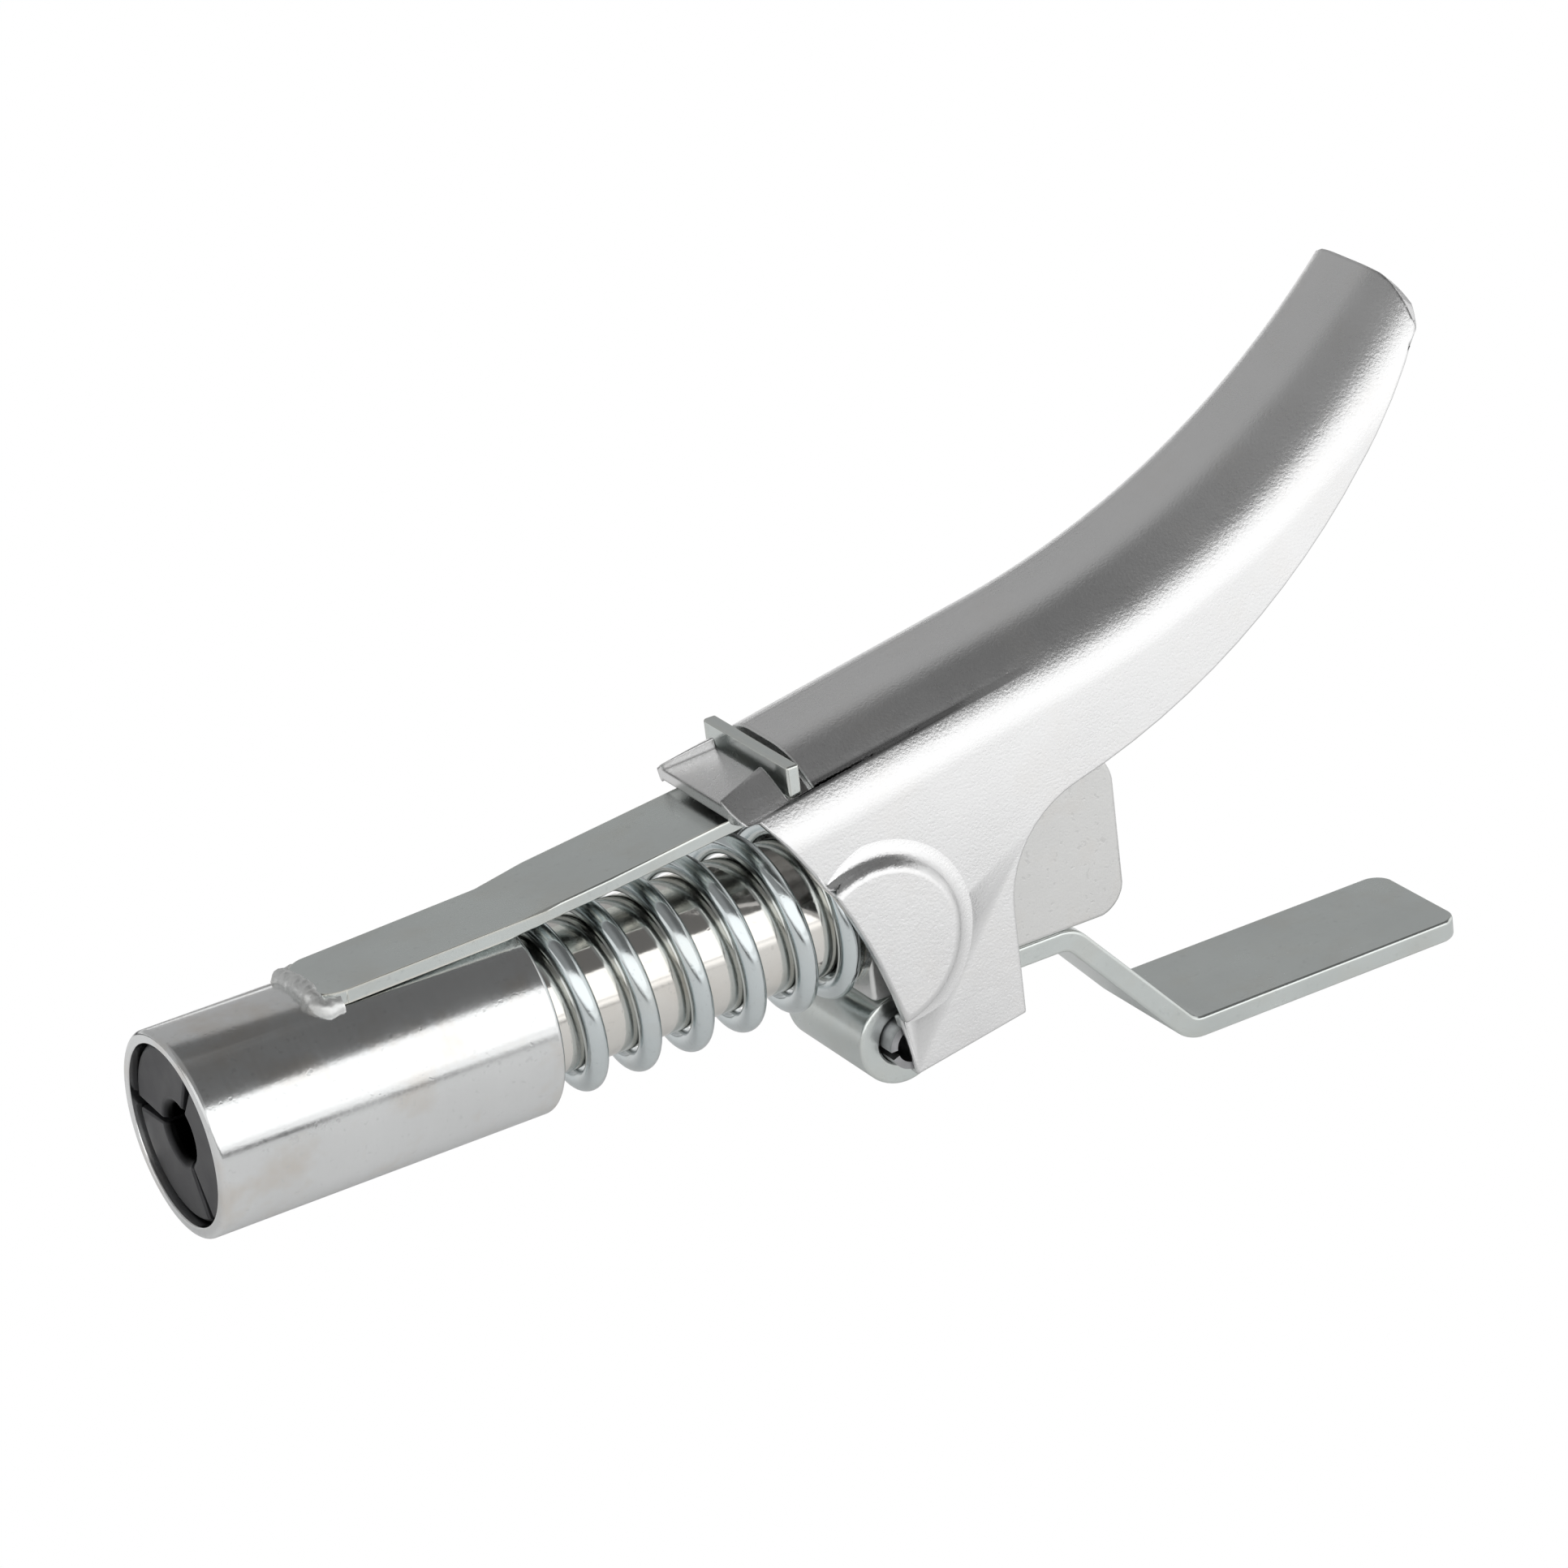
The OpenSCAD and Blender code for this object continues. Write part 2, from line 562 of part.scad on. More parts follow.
// Lower handle: a bent strip whose front end is rolled into the pivot's eye
module lower_handle() color(zinc) difference() {
    across(handle_w) {
        translate([pivot_x, pivot_z]) sector(pin_r + seat_fit, eye_r, 90, eye_sweep);
        polygon(concat(
            [[pivot_x, handle_z - handle_t]],
            arc(upper_bend, bend_r, 90, 90 - handle_angle),
            arc(lower_bend, bend_outer, 270 - handle_angle, 270),
            [[grip_x1, grip_z - handle_t], [grip_x1, grip_z]],
            arc(lower_bend, bend_r, 270, 270 - handle_angle),
            arc(upper_bend, bend_outer, 90 - handle_angle, 90),
            [[pivot_x, handle_z]]));
    }
    for (s = [0, 1]) translate([grip_x1, 0, grip_z - handle_t - over]) mirror([0, s])
        translate([0, handle_w / 2]) linear_extrude(handle_t + 2 * over) corner_waste(grip_round);
    for (x = rivet_xs) translate([x, 0, handle_z - handle_t]) rivet_shape(seat_fit);
}

// A countersunk rivet standing on its head, grown by a clearance
module rivet_shape(grow) {
    cylinder(r = rivet_r + grow, h = handle_t + rivet_depth);
    translate([0, 0, -grow])
        cylinder(r1 = rivet_head_r + grow, r2 = rivet_r + grow, h = rivet_head_h + grow);
}
module handle_rivets() color(zinc) for (x = rivet_xs)
    translate([x, 0, handle_z - handle_t]) rivet_shape(0);

// Rolled pivot pin, open along its front
module pivot_pin() color("#6b6d70") translate([pivot_x, 0, pivot_z]) rotate([90, 0, 0])
    linear_extrude(2 * pin_half, center = true)
        sector(pin_r - pin_wall, pin_r, 180 + pin_slit, 360 - pin_slit);

// The lever's sheet section: an arch with its crown at the origin and its legs pointing down
module channel(depth) difference() {
    arch(lever_half, shoulder_round, depth);
    translate([0, -lever_t]) arch(lever_inner, shoulder_round - lever_t, depth);
}
module arch(half, r, depth) {
    translate([-half, -depth]) square([2 * half, depth - r]);
    translate([r - half, -depth]) square([2 * (half - r), depth]);
    for (s = [1, -1]) translate([s * (half - r), -r]) circle(r);
}

// The lever's outline from the side, from the lip down the front edge and round to the tail
function front_edge_angle(z) = asin((z - front_edge_axis.y) / front_edge_r);
module lever_side() polygon(concat(
    [on_lever(-front_len, over), lip_foot],
    arc(front_edge_axis, front_edge_r, front_edge_angle(lip_foot.y), front_edge_angle(plate_z0)),
    [[plate_x1, plate_z0 + plate_corner]],
    arc(fillet_axis, plate_fillet, 180, fillet_end),
    arc(tail_edge_axis, tail_edge_r, fillet_end + 180 + tail_edge_step,
        fillet_end + 180 + tail_edge_sweep, tail_edge_sweep / tail_edge_step - 1)));

// The pressed lip's outline from above, reaching past the lip's front by a margin
module lip_plan(margin) polygon([
    [-front_len - margin, -lip_w / 2], [slot_along + margin, -lip_neck],
    [slot_along + margin, lip_neck], [-front_len - margin, lip_w / 2]]);

// The lever's raised bosses, or the hollows behind them
module bosses(r, from, rise) for (s = [0, 1]) mirror([0, s, 0])
    translate([boss_axis.x, from, boss_axis.y]) rotate([-90, 0, 0])
        cylinder(r1 = r, r2 = r - boss_slope, h = rise);

module lever() color(zinc) difference() {
    union() {
        intersection() {
            in_lever_frame() {
                translate([-front_len - over, 0, 0]) rotate([90, 0, 90])
                    linear_extrude(front_len + over) channel(channel_depth);
                translate([-front_len - over, -lip_w / 2 - lip_lap, -lip_under])
                    cube([lip_reach + over, lip_w + 2 * lip_lap, lever_t]);
                translate([0, 0, tail_r]) rotate([90, 0, 0])
                    rotate(-90) rotate_extrude(angle = tail_sweep)
                    translate([tail_r, 0]) rotate(90) channel(channel_depth);
            }
            across(2 * lever_w) lever_side();
        }
        intersection() {
            bosses(boss_r, lever_half - lever_t / 2, boss_rise + lever_t / 2);
            across(2 * lever_w) lever_side();
        }
    }
    bosses(boss_r - boss_wall, lever_inner - over, boss_rise + over);
    cross_bar([pivot_x, pivot_z], pin_r + run_fit, lever_inner + pin_pocket);
    in_lever_frame() {
        translate([slot_along, -slot_half, -slot_depth]) cube([slot_len, 2 * slot_half, 2 * slot_depth]);
        translate([0, 0, -lip_press]) linear_extrude(lip_press + over) lip_plan(over);
        for (s = [0, 1]) mirror([0, s, 0]) translate([-front_len, lever_half, -shoulder_round])
            linear_extrude(shoulder_round + over) mirror([1, 0]) corner_waste(lip_round);
        translate([0, 0, tail_r]) rotate([0, -tail_sweep, 0])
            for (s = [0, 1]) mirror([0, s, 0]) translate([0, lever_half, -tail_r - shoulder_round - over])
                linear_extrude(shoulder_round + 3 * over) corner_waste(tip_round);
    }
}

// Puts shapes drawn along the lever's straight crown, which ends at the origin, in their place
module in_lever_frame() translate([crown_end.x, 0, crown_end.y]) rotate([0, -lever_pitch, 0]) {
    children();
}

sleeve();
pull_strap();
strap_weld();
jaw_1();
jaw_2();
jaw_3();
jaw_ring();
nozzle_tip();
nozzle_seal();
tip_washer();
check_ball();
check_spring();
body_tube();
spring_washer();
main_spring();
body_block();
lower_handle();
handle_rivets();
pivot_pin();
lever();
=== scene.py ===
"""Looks of a locking grease coupler, built round its packed CAD frame."""

import math

import bmesh
import bpy
from bpy.props import FloatProperty, FloatVectorProperty, PointerProperty
from mathutils import Matrix, Vector
from mathutils.bvhtree import BVHTree
from mathutils.geometry import delaunay_2d_cdt, intersect_point_line


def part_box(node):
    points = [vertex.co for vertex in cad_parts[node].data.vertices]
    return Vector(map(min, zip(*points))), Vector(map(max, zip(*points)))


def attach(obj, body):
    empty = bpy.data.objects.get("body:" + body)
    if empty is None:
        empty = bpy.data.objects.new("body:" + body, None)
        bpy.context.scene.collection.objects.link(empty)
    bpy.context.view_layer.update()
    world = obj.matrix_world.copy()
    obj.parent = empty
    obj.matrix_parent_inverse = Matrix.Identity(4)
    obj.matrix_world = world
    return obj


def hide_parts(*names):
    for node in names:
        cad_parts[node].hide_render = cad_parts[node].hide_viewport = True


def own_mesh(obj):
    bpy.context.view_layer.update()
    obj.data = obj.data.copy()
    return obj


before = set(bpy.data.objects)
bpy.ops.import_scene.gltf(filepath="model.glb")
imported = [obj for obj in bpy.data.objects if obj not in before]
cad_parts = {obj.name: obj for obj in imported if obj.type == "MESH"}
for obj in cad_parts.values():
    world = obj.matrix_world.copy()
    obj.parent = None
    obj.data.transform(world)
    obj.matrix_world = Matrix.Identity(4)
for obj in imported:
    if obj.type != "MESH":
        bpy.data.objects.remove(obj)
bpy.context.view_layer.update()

bl_info = {
    "name": "Grease coupler looks",
    "version": (1, 0, 0),
    "blender": (4, 5, 0),
    "location": "View3D > Sidebar > Coupler",
    "description": "Dresses the packed grease coupler in plated metal, springs, threads and welds",
    "category": "Object",
}

MM = 0.001
WELD_DISTANCE = 0.004 * MM
SHORT_EDGE = 0.02 * MM
FLAT_ANGLE = math.radians(0.4)
SHARP_ANGLE = math.radians(28)
KNIFE_ANGLE = math.radians(125)
FAULT_DEPTH = 0.05 * MM
FAULT_AREA = (0.03 * MM) ** 2
FAULT_REACH = 0.5 * MM
EASING_ROUNDS = 8
LEAST_WEIGHT = 0.1
FILL_INSIDE = 1
FILL_STEP_MM = 1e-4
WHITE = (1, 1, 1, 1)


def colour_property(name, description, default):
    """A colour that the sidebar shows as a swatch."""
    return FloatVectorProperty(name=name, description=description, default=default, size=3,
                               subtype="COLOR", min=0, max=1)


def length_property(name, description, default):
    """A length in metres, given here in millimetres."""
    return FloatProperty(name=name, description=description, default=default * MM, min=0,
                         unit="LENGTH", precision=5)


class FinishSettings(bpy.types.PropertyGroup):
    """Colours of the plated, blackened and rubber surfaces."""

    sleeve: colour_property("Sleeve", "Bright zinc on the turned sleeve", (0.80, 0.81, 0.81))
    sheet: colour_property("Lever", "Satin zinc on the pressed lever", (0.80, 0.80, 0.80))
    strip: colour_property("Strip", "Smooth zinc on the strap and handle", (0.73, 0.77, 0.755))
    strip_edge: colour_property("Strip's edges", "Yellowish passivation along cut edges",
                                (0.86, 0.84, 0.76))
    spring: colour_property("Springs", "Bluish zinc on the springs", (0.70, 0.75, 0.76))
    tube: colour_property("Tube", "Polished body tube", (0.82, 0.80, 0.76))
    block: colour_property("Block", "Blasted body block", (0.77, 0.77, 0.76))
    jaw: colour_property("Jaws", "Blackened steel of the jaws", (0.022, 0.022, 0.024))
    rubber: colour_property("Rubber", "Nozzle seal and jaw ring", (0.006, 0.006, 0.006))
    copper: colour_property("Copper", "Sealing washer", (0.72, 0.40, 0.26))
    steel: colour_property("Steel", "Check ball and pivot pin", (0.42, 0.42, 0.43))


class EdgeSettings(bpy.types.PropertyGroup):
    """Rounding of the pieces' worn and tumbled edges."""

    sleeve: length_property("Sleeve", "Rounding of the sleeve's rims", 0.22)
    jaws: length_property("Jaws", "Rounding of the jaws' edges", 0.3)
    strap: length_property("Strap", "Rounding of the strap's edges", 0.28)
    lever: length_property("Lever", "Rounding of the lever's sheared edges", 0.28)
    boss: length_property("Bosses", "Rounding of the lever's pressed bosses", 0.85)
    boss_fillet: length_property("Boss fillets", "Reach of the rounding at the bosses' foot", 2.1)
    handle: length_property("Handle", "Rounding of the handle's edges", 0.4)
    block: length_property("Block", "Rounding of the block's edges", 0.55)
    weld_lump: length_property("Weld lumps", "Height of the lumps on the weld bead", 0.45)
    weld_bead: length_property("Weld bead", "Radius of the weld bead", 1.05)


class SpringSettings(bpy.types.PropertyGroup):
    """Sizes of the two coil springs."""

    main_wire: length_property("Main wire", "Wire of the main spring", 2.4)
    main_mean: length_property("Main radius", "Mean radius of the main spring", 9.25)
    main_turns: FloatProperty(name="Main turns", description="Turns of the main spring",
                              default=6, min=2)
    check_wire: length_property("Check wire", "Wire of the check spring", 0.4)
    check_mean: length_property("Check radius", "Mean radius of the check spring", 1.6)
    check_turns: FloatProperty(name="Check turns", description="Turns of the check spring",
                               default=5, min=2)


class ThreadSettings(bpy.types.PropertyGroup):
    """Sizes of the inlet's thread."""

    bore: length_property("Bore", "Radius of the inlet's bore", 4.35)
    pitch: length_property("Pitch", "Rise of one turn", 0.94)
    depth: length_property("Depth", "Height of the thread's ridge", 0.5)
    length: length_property("Length", "Length of the threaded part", 9.2)


class StageSettings(bpy.types.PropertyGroup):
    """Floor, lights and the photograph's camera."""

    floor: colour_property("Floor", "Colour of the pale floor", (0.9, 0.9, 0.9))
    ambient: FloatProperty(name="Ambient", description="World light on dull surfaces",
                           default=0.55, min=0)
    dark_board: FloatProperty(name="Dark boards", description="Grey of the room above, as metal sees it",
                              default=0.15, min=0, max=1)
    back_board: FloatProperty(name="Back board", description="Grey of the room behind, as metal sees it",
                              default=0.43, min=0, max=1)
    front_panel: FloatProperty(name="Front panel", description="Brightness of the panel in front",
                               default=1.45, min=0)
    nozzle_floor: FloatProperty(name="Floor by the nozzle", description="Its brightness in metal",
                                default=0.75, min=0)
    handle_floor: FloatProperty(name="Floor by the handles", description="Its brightness in metal",
                                default=1.3, min=0)
    azimuth: FloatProperty(name="Azimuth", description="Camera's angle round the tool",
                           default=math.radians(-27.993), subtype="ANGLE")
    elevation: FloatProperty(name="Elevation", description="Camera's angle above the tool",
                             default=math.radians(24.68), subtype="ANGLE")
    roll: FloatProperty(name="Roll", description="Camera's turn about its own axis",
                        default=math.radians(-7.123), subtype="ANGLE")
    distance: length_property("Distance", "From the camera to the tool", 657.433)
    lens: FloatProperty(name="Lens", description="Focal length in millimetres", default=145.11, min=1)


class Value:
    """A node's output that takes part in Python sums."""

    def __init__(self, graph, socket):
        self.graph = graph
        self.socket = socket

    def sum(self, operation, first, second=0.0):
        """One Math node."""
        return self.graph.node("ShaderNodeMath", {"operation": operation}, {0: first, 1: second})

    def __add__(self, other):
        return self.sum("ADD", self, other)

    def __radd__(self, other):
        return self.sum("ADD", other, self)

    def __sub__(self, other):
        return self.sum("SUBTRACT", self, other)

    def __rsub__(self, other):
        return self.sum("SUBTRACT", other, self)

    def __mul__(self, other):
        return self.sum("MULTIPLY", self, other)

    def __rmul__(self, other):
        return self.sum("MULTIPLY", other, self)

    def __truediv__(self, other):
        return self.sum("DIVIDE", self, other)

    def __rtruediv__(self, other):
        return self.sum("DIVIDE", other, self)

    def at_least(self, other):
        """The larger of two values."""
        return self.sum("MAXIMUM", self, other)

    def at_most(self, other):
        """The smaller of two values."""
        return self.sum("MINIMUM", self, other)

    def between(self, low, high):
        """0 below low, 1 above high, and an even rise between."""
        return ((self - low) / (high - low)).at_least(0).at_most(1)


class Graph:
    """A node tree whose nodes are added by one method."""

    def __init__(self, tree):
        self.tree = tree

    def node(self, kind, settings=None, inputs=None, out=0):
        """Adds a node: its settings first, then its sockets' values or links."""
        made = self.tree.nodes.new(kind)
        for key, value in (settings or {}).items():
            setattr(made, key, value)
        for key, value in (inputs or {}).items():
            if isinstance(value, Value):
                self.tree.links.new(value.socket, made.inputs[key])
            else:
                made.inputs[key].default_value = value
        return Value(self, made.outputs[out]) if len(made.outputs) else None

    def noise(self, vector, scale, detail=2.0, roughness=0.5):
        """A noise pattern's value, about 0.5 on average."""
        return self.node("ShaderNodeTexNoise", None,
                         {"Vector": vector, "Scale": scale, "Detail": detail, "Roughness": roughness})

    def mix(self, factor, first, second):
        """A colour between two colours."""
        colours = [value if isinstance(value, Value) else (*value, 1) for value in (first, second)]
        return self.node("ShaderNodeMix", {"data_type": "RGBA"},
                         {0: factor, 6: colours[0], 7: colours[1]}, out=2)


def new_finish(name):
    """A material with an empty tree."""
    material = bpy.data.materials.new(name)
    material.use_nodes = True
    material.node_tree.nodes.clear()
    return material, Graph(material.node_tree)


def close_finish(graph, sockets):
    """Ends a material's tree in one Principled shader."""
    shader = graph.node("ShaderNodeBsdfPrincipled", None, sockets)
    graph.node("ShaderNodeOutputMaterial", None, {"Surface": shader})


def edge_mask(graph, reach):
    """1 along edges, fading to 0 within the given reach."""
    rounded = graph.node("ShaderNodeBevel", {"samples": 6}, {"Radius": reach})
    plain = graph.node("ShaderNodeNewGeometry", None, None, out="Normal")
    likeness = graph.node("ShaderNodeVectorMath", {"operation": "DOT_PRODUCT"},
                          {0: rounded, 1: plain}, out="Value")
    least_turn, full_turn = 0.004, 0.12
    return (1 - likeness).between(least_turn, full_turn)


def darker(colour, share):
    """A colour's shade, or a lighter one where the share is over 1."""
    return tuple(channel * share for channel in colour)


def plated(name, colour, edge_wear_and_shade, roughness, grain_mm, grain_depth_mm, streak=(1, 1, 1),
           grain_gloss=0.1, cloud_share=0.82, pit_depth=0.5, tint=0.25, lean=0.0):
    """Zinc plate: grain, drawing streaks, cloudy patches, a faint tint, small pits, and edges recoloured:
    lighter ones as wear, darker ones as painted shade lines.
    """
    streak_scale, cloud_scale, pit_scale, tint_scale = 900, 75, 1500, 160
    warm_shade = (0.82, 0.74, 0.66)
    pit_shade = 0.8
    edge_reach = 0.5 * MM
    material, graph = new_finish(name)
    place = graph.node("ShaderNodeTexCoord", None, None, out="Object")
    along = graph.node("ShaderNodeMapping", None, {"Vector": place, "Scale": streak})
    grain = graph.noise(place, 1 / (grain_mm * MM), 3.0, 0.6)
    streaks = graph.noise(along, streak_scale, 3.0, 0.6)
    clouds = graph.noise(place, cloud_scale, 3.0, 0.55).between(0.3, 0.7)
    pits = graph.noise(place, pit_scale, 1.0).between(0.66, 0.74)
    edge = edge_mask(graph, edge_reach)
    tone = clouds * 0.5 + streaks * 0.3 + grain * 0.2
    skin = graph.mix(tone, darker(colour, cloud_share), colour)
    warm = graph.noise(place, tint_scale, 3.0, 0.6).between(0.5, 0.75) * tint
    skin = graph.mix(warm, skin, tuple(channel * share for channel, share in zip(colour, warm_shade)))
    skin = graph.mix(pits * pit_depth, skin, darker(colour, pit_shade))
    # Edges take the edge colour: where it is lighter this is wear; where it is darker, as on the lever, it
    # is painted shade lines.
    skin = graph.mix(edge, skin, edge_wear_and_shade)
    gloss = roughness + (grain - 0.5) * grain_gloss + (clouds - 0.5) * 0.06 + (streaks - 0.5) * 0.08
    height = grain + streaks * 0.4 - pits * pit_depth
    normal = graph.node("ShaderNodeBump", None,
                        {"Strength": 1.0, "Distance": grain_depth_mm * MM, "Height": height})
    if lean:
        normal = graph.node("ShaderNodeVectorRotate", {"rotation_type": "X_AXIS"},
                            {"Vector": normal, "Angle": lean})
    close_finish(graph, {"Base Color": skin, "Metallic": 1.0,
                         "Roughness": (gloss - edge * 0.05).at_least(0.04), "Normal": normal})
    return material


def blackened(name, colour):
    """Black oxide over turned steel, rubbed to grey along the edges, and near-black and fully metallic
    towards the bore's axis.
    """
    rubbed_grey = (0.22, 0.22, 0.22)
    bore_black = (0.002, 0.002, 0.002)
    patch_shade = 2.2
    material, graph = new_finish(name)
    place = graph.node("ShaderNodeTexCoord", None, None, out="Object")
    along = graph.node("ShaderNodeMapping", None, {"Vector": place, "Scale": (8, 1, 1)})
    rings = graph.noise(along, 420, 2.0)
    patches = graph.noise(place, 260, 3.0).between(0.35, 0.7)
    rubbed = edge_mask(graph, 0.35 * MM) * graph.noise(place, 900, 2.0).between(0.4, 0.7)
    skin = graph.mix(patches, colour, darker(colour, patch_shade))
    skin = graph.mix(rubbed * 0.55, skin, rubbed_grey)
    across = graph.node("ShaderNodeVectorMath", {"operation": "MULTIPLY"}, {0: place, 1: (0, 1, 1)})
    radius = graph.node("ShaderNodeVectorMath", {"operation": "LENGTH"}, {0: across}, out="Value")
    # Near-black and fully metallic within 3.2 to 3.7 mm of the axis, in the middle of the mouth.
    near_axis = 1 - radius.between(3.2 * MM, 3.7 * MM)
    skin = graph.mix(near_axis, skin, bore_black)
    normal = graph.node("ShaderNodeBump", None,
                        {"Strength": 0.6, "Distance": 0.02 * MM, "Height": rings + patches * 0.5})
    close_finish(graph, {"Base Color": skin, "Metallic": 0.35 + near_axis * 0.65,
                         "Roughness": 0.42 + (patches - 0.5) * 0.16 - rubbed * 0.1,
                         "Normal": normal})
    return material


def rubber(name, colour):
    """Moulded nitrile with a dull, slightly dusty skin."""
    material, graph = new_finish(name)
    place = graph.node("ShaderNodeTexCoord", None, None, out="Object")
    dust_grey = (0.02, 0.02, 0.02)
    skin_noise = graph.noise(place, 1800, 3.0)
    dust = graph.noise(place, 300, 4.0).between(0.45, 0.8)
    normal = graph.node("ShaderNodeBump", None,
                        {"Strength": 0.5, "Distance": 0.02 * MM, "Height": skin_noise})
    close_finish(graph, {"Base Color": graph.mix(dust, colour, dust_grey),
                         "Roughness": 0.7 + dust * 0.2, "Normal": normal})
    return material


def bare_metal(name, colour, shade, roughness):
    """Turned or drawn metal with fine rings and a little tarnish."""
    material, graph = new_finish(name)
    place = graph.node("ShaderNodeTexCoord", None, None, out="Object")
    along = graph.node("ShaderNodeMapping", None, {"Vector": place, "Scale": (10, 1, 1)})
    rings = graph.noise(along, 600, 2.0)
    tarnish = graph.noise(place, 350, 4.0).between(0.4, 0.75)
    normal = graph.node("ShaderNodeBump", None,
                        {"Strength": 0.4, "Distance": 0.01 * MM, "Height": rings})
    close_finish(graph, {"Base Color": graph.mix(tarnish, colour, shade), "Metallic": 1.0,
                         "Roughness": roughness + tarnish * 0.15 + (rings - 0.5) * 0.05,
                         "Normal": normal})
    return material


def link_piece(name, mesh):
    """A piece's object at the origin, with smooth faces."""
    piece = bpy.data.objects.new(name, mesh)
    bpy.context.scene.collection.objects.link(piece)
    mesh.polygons.foreach_set("use_smooth", [True] * len(mesh.polygons))
    return piece


def settle(piece):
    """Turns a piece and its modifiers into a plain mesh."""
    depsgraph = bpy.context.evaluated_depsgraph_get()
    mesh = bpy.data.meshes.new_from_object(piece.evaluated_get(depsgraph))
    spare = piece.data
    piece.modifiers.clear()
    piece.data = mesh
    if spare.users == 0:
        bpy.data.meshes.remove(spare)
    return piece


def merged_shape(node):
    """A CAD node's mesh with its triangles joined and its flat faces made whole."""
    shape = bmesh.new()
    shape.from_mesh(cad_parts[node].data)
    bmesh.ops.remove_doubles(shape, verts=shape.verts, dist=WELD_DISTANCE)
    bmesh.ops.dissolve_degenerate(shape, dist=SHORT_EDGE, edges=shape.edges)
    bmesh.ops.dissolve_limit(shape, angle_limit=FLAT_ANGLE, verts=shape.verts, edges=shape.edges)
    return shape


def rounding_faults(mesh, solid):
    """Places where rounding pushed a mesh out of its solid or turned faces over."""
    turned_over = -0.2
    places = []
    for vertex in mesh.vertices:
        near, normal, _, _ = solid.find_nearest(vertex.co)
        if (vertex.co - near).dot(normal) > FAULT_DEPTH:
            places.append(vertex.co.copy())
    for face in mesh.polygons:
        near, normal, _, _ = solid.find_nearest(face.center)
        if face.area > FAULT_AREA and normal.dot(face.normal) < turned_over:
            places.append(face.center.copy())
    return places


def ease_edges(shape, weight, places):
    """Halves the rounding of the edges at the given places, and drops it where little is left."""
    for edge in shape.edges:
        if edge[weight] == 0:
            continue
        first, second = (vertex.co for vertex in edge.verts)
        for place in places:
            share = intersect_point_line(place, first, second)[1]
            foot = first.lerp(second, min(max(share, 0), 1))
            if (foot - place).length < FAULT_REACH:
                edge[weight] = edge[weight] / 2 if edge[weight] > LEAST_WEIGHT else 0
                break


def crossed_faces(mesh):
    """The numbers of many-sided faces that would be filled with a triangle turned over."""
    mesh.calc_loop_triangles()
    crossed = set()
    for triangle in mesh.loop_triangles:
        face = mesh.polygons[triangle.polygon_index]
        if len(face.vertices) > 4 and triangle.normal.dot(face.normal) < 0:
            crossed.add(face.index)
    return crossed


def refill_crossed_faces(mesh):
    """Fills faces whose outline crosses itself with triangles that all look outward."""
    crossed = crossed_faces(mesh)
    shape = bmesh.new()
    shape.from_mesh(mesh)
    shape.faces.ensure_lookup_table()
    kept_normal = shape.loops.layers.float_vector.new("kept_normal")
    corners = iter(mesh.corner_normals)
    for face in shape.faces:
        for loop in face.loops:
            loop[kept_normal] = next(corners).vector
    for face in [shape.faces[number] for number in crossed]:
        turn = face.normal.to_track_quat("Z", "Y")
        outline = [turn.inverted() @ vertex.co / MM for vertex in face.verts]
        height = sum(point.z for point in outline) / len(outline)
        points, _, triangles, sources, _, _ = delaunay_2d_cdt(
            [point.to_2d() for point in outline], [], [list(range(len(outline)))],
            FILL_INSIDE, FILL_STEP_MM)
        corner = [face.verts[source[0]] if source
                  else shape.verts.new(turn @ Vector((*point, height)) * MM)
                  for point, source in zip(points, sources)]
        for triangle in triangles:
            filled = shape.faces.new([corner[number] for number in triangle], face)
            for loop in filled.loops:
                loop[kept_normal] = face.normal
        shape.faces.remove(face)
    shape.to_mesh(mesh)
    shape.free()
    kept = mesh.attributes["kept_normal"]
    normals = [Vector(corner.vector) for corner in kept.data]
    mesh.attributes.remove(kept)
    mesh.normals_split_custom_set(normals)


def rounded_piece(shape, name, widest, segments):
    """A piece made from a shape whose weighted edges are rounded over."""
    mesh = bpy.data.meshes.new(name)
    shape.to_mesh(mesh)
    piece = link_piece(name, mesh)
    mesh.set_sharp_from_angle(angle=SHARP_ANGLE)
    bevel = piece.modifiers.new("Edge rounding", "BEVEL")
    bevel.limit_method = "WEIGHT"
    bevel.width = widest
    bevel.segments = segments
    bevel.use_clamp_overlap = False
    bevel.harden_normals = True
    return settle(piece)


def softened(node, name, material, rounding, segments=3, widest=None, is_wide=None):
    """A copy of a CAD node with its outer edges rounded over, less where there is no room."""
    shape = merged_shape(node)
    solid = BVHTree.FromBMesh(shape)
    widest = widest or rounding
    weight = shape.edges.layers.float.new("bevel_weight_edge")
    for edge in shape.edges:
        if edge.is_convex and SHARP_ANGLE < edge.calc_face_angle() < KNIFE_ANGLE:
            middle = (edge.verts[0].co + edge.verts[1].co) / 2
            edge[weight] = 1.0 if is_wide and is_wide(middle) else rounding / widest
    for _ in range(EASING_ROUNDS):
        piece = rounded_piece(shape, name, widest, segments)
        places = rounding_faults(piece.data, solid)
        if not places:
            break
        ease_edges(shape, weight, places)
        bpy.data.objects.remove(piece)
    else:
        piece = rounded_piece(shape, name, widest, segments)
    shape.free()
    refill_crossed_faces(piece.data)
    dress(piece, material)
    return piece


def dress(piece, material):
    """Gives a piece its one material."""
    piece.data.materials.clear()
    piece.data.materials.append(material)


def stand_for(piece, node, body):
    """Puts a finished piece in a CAD node's place."""
    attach(piece, body)
    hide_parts(node)


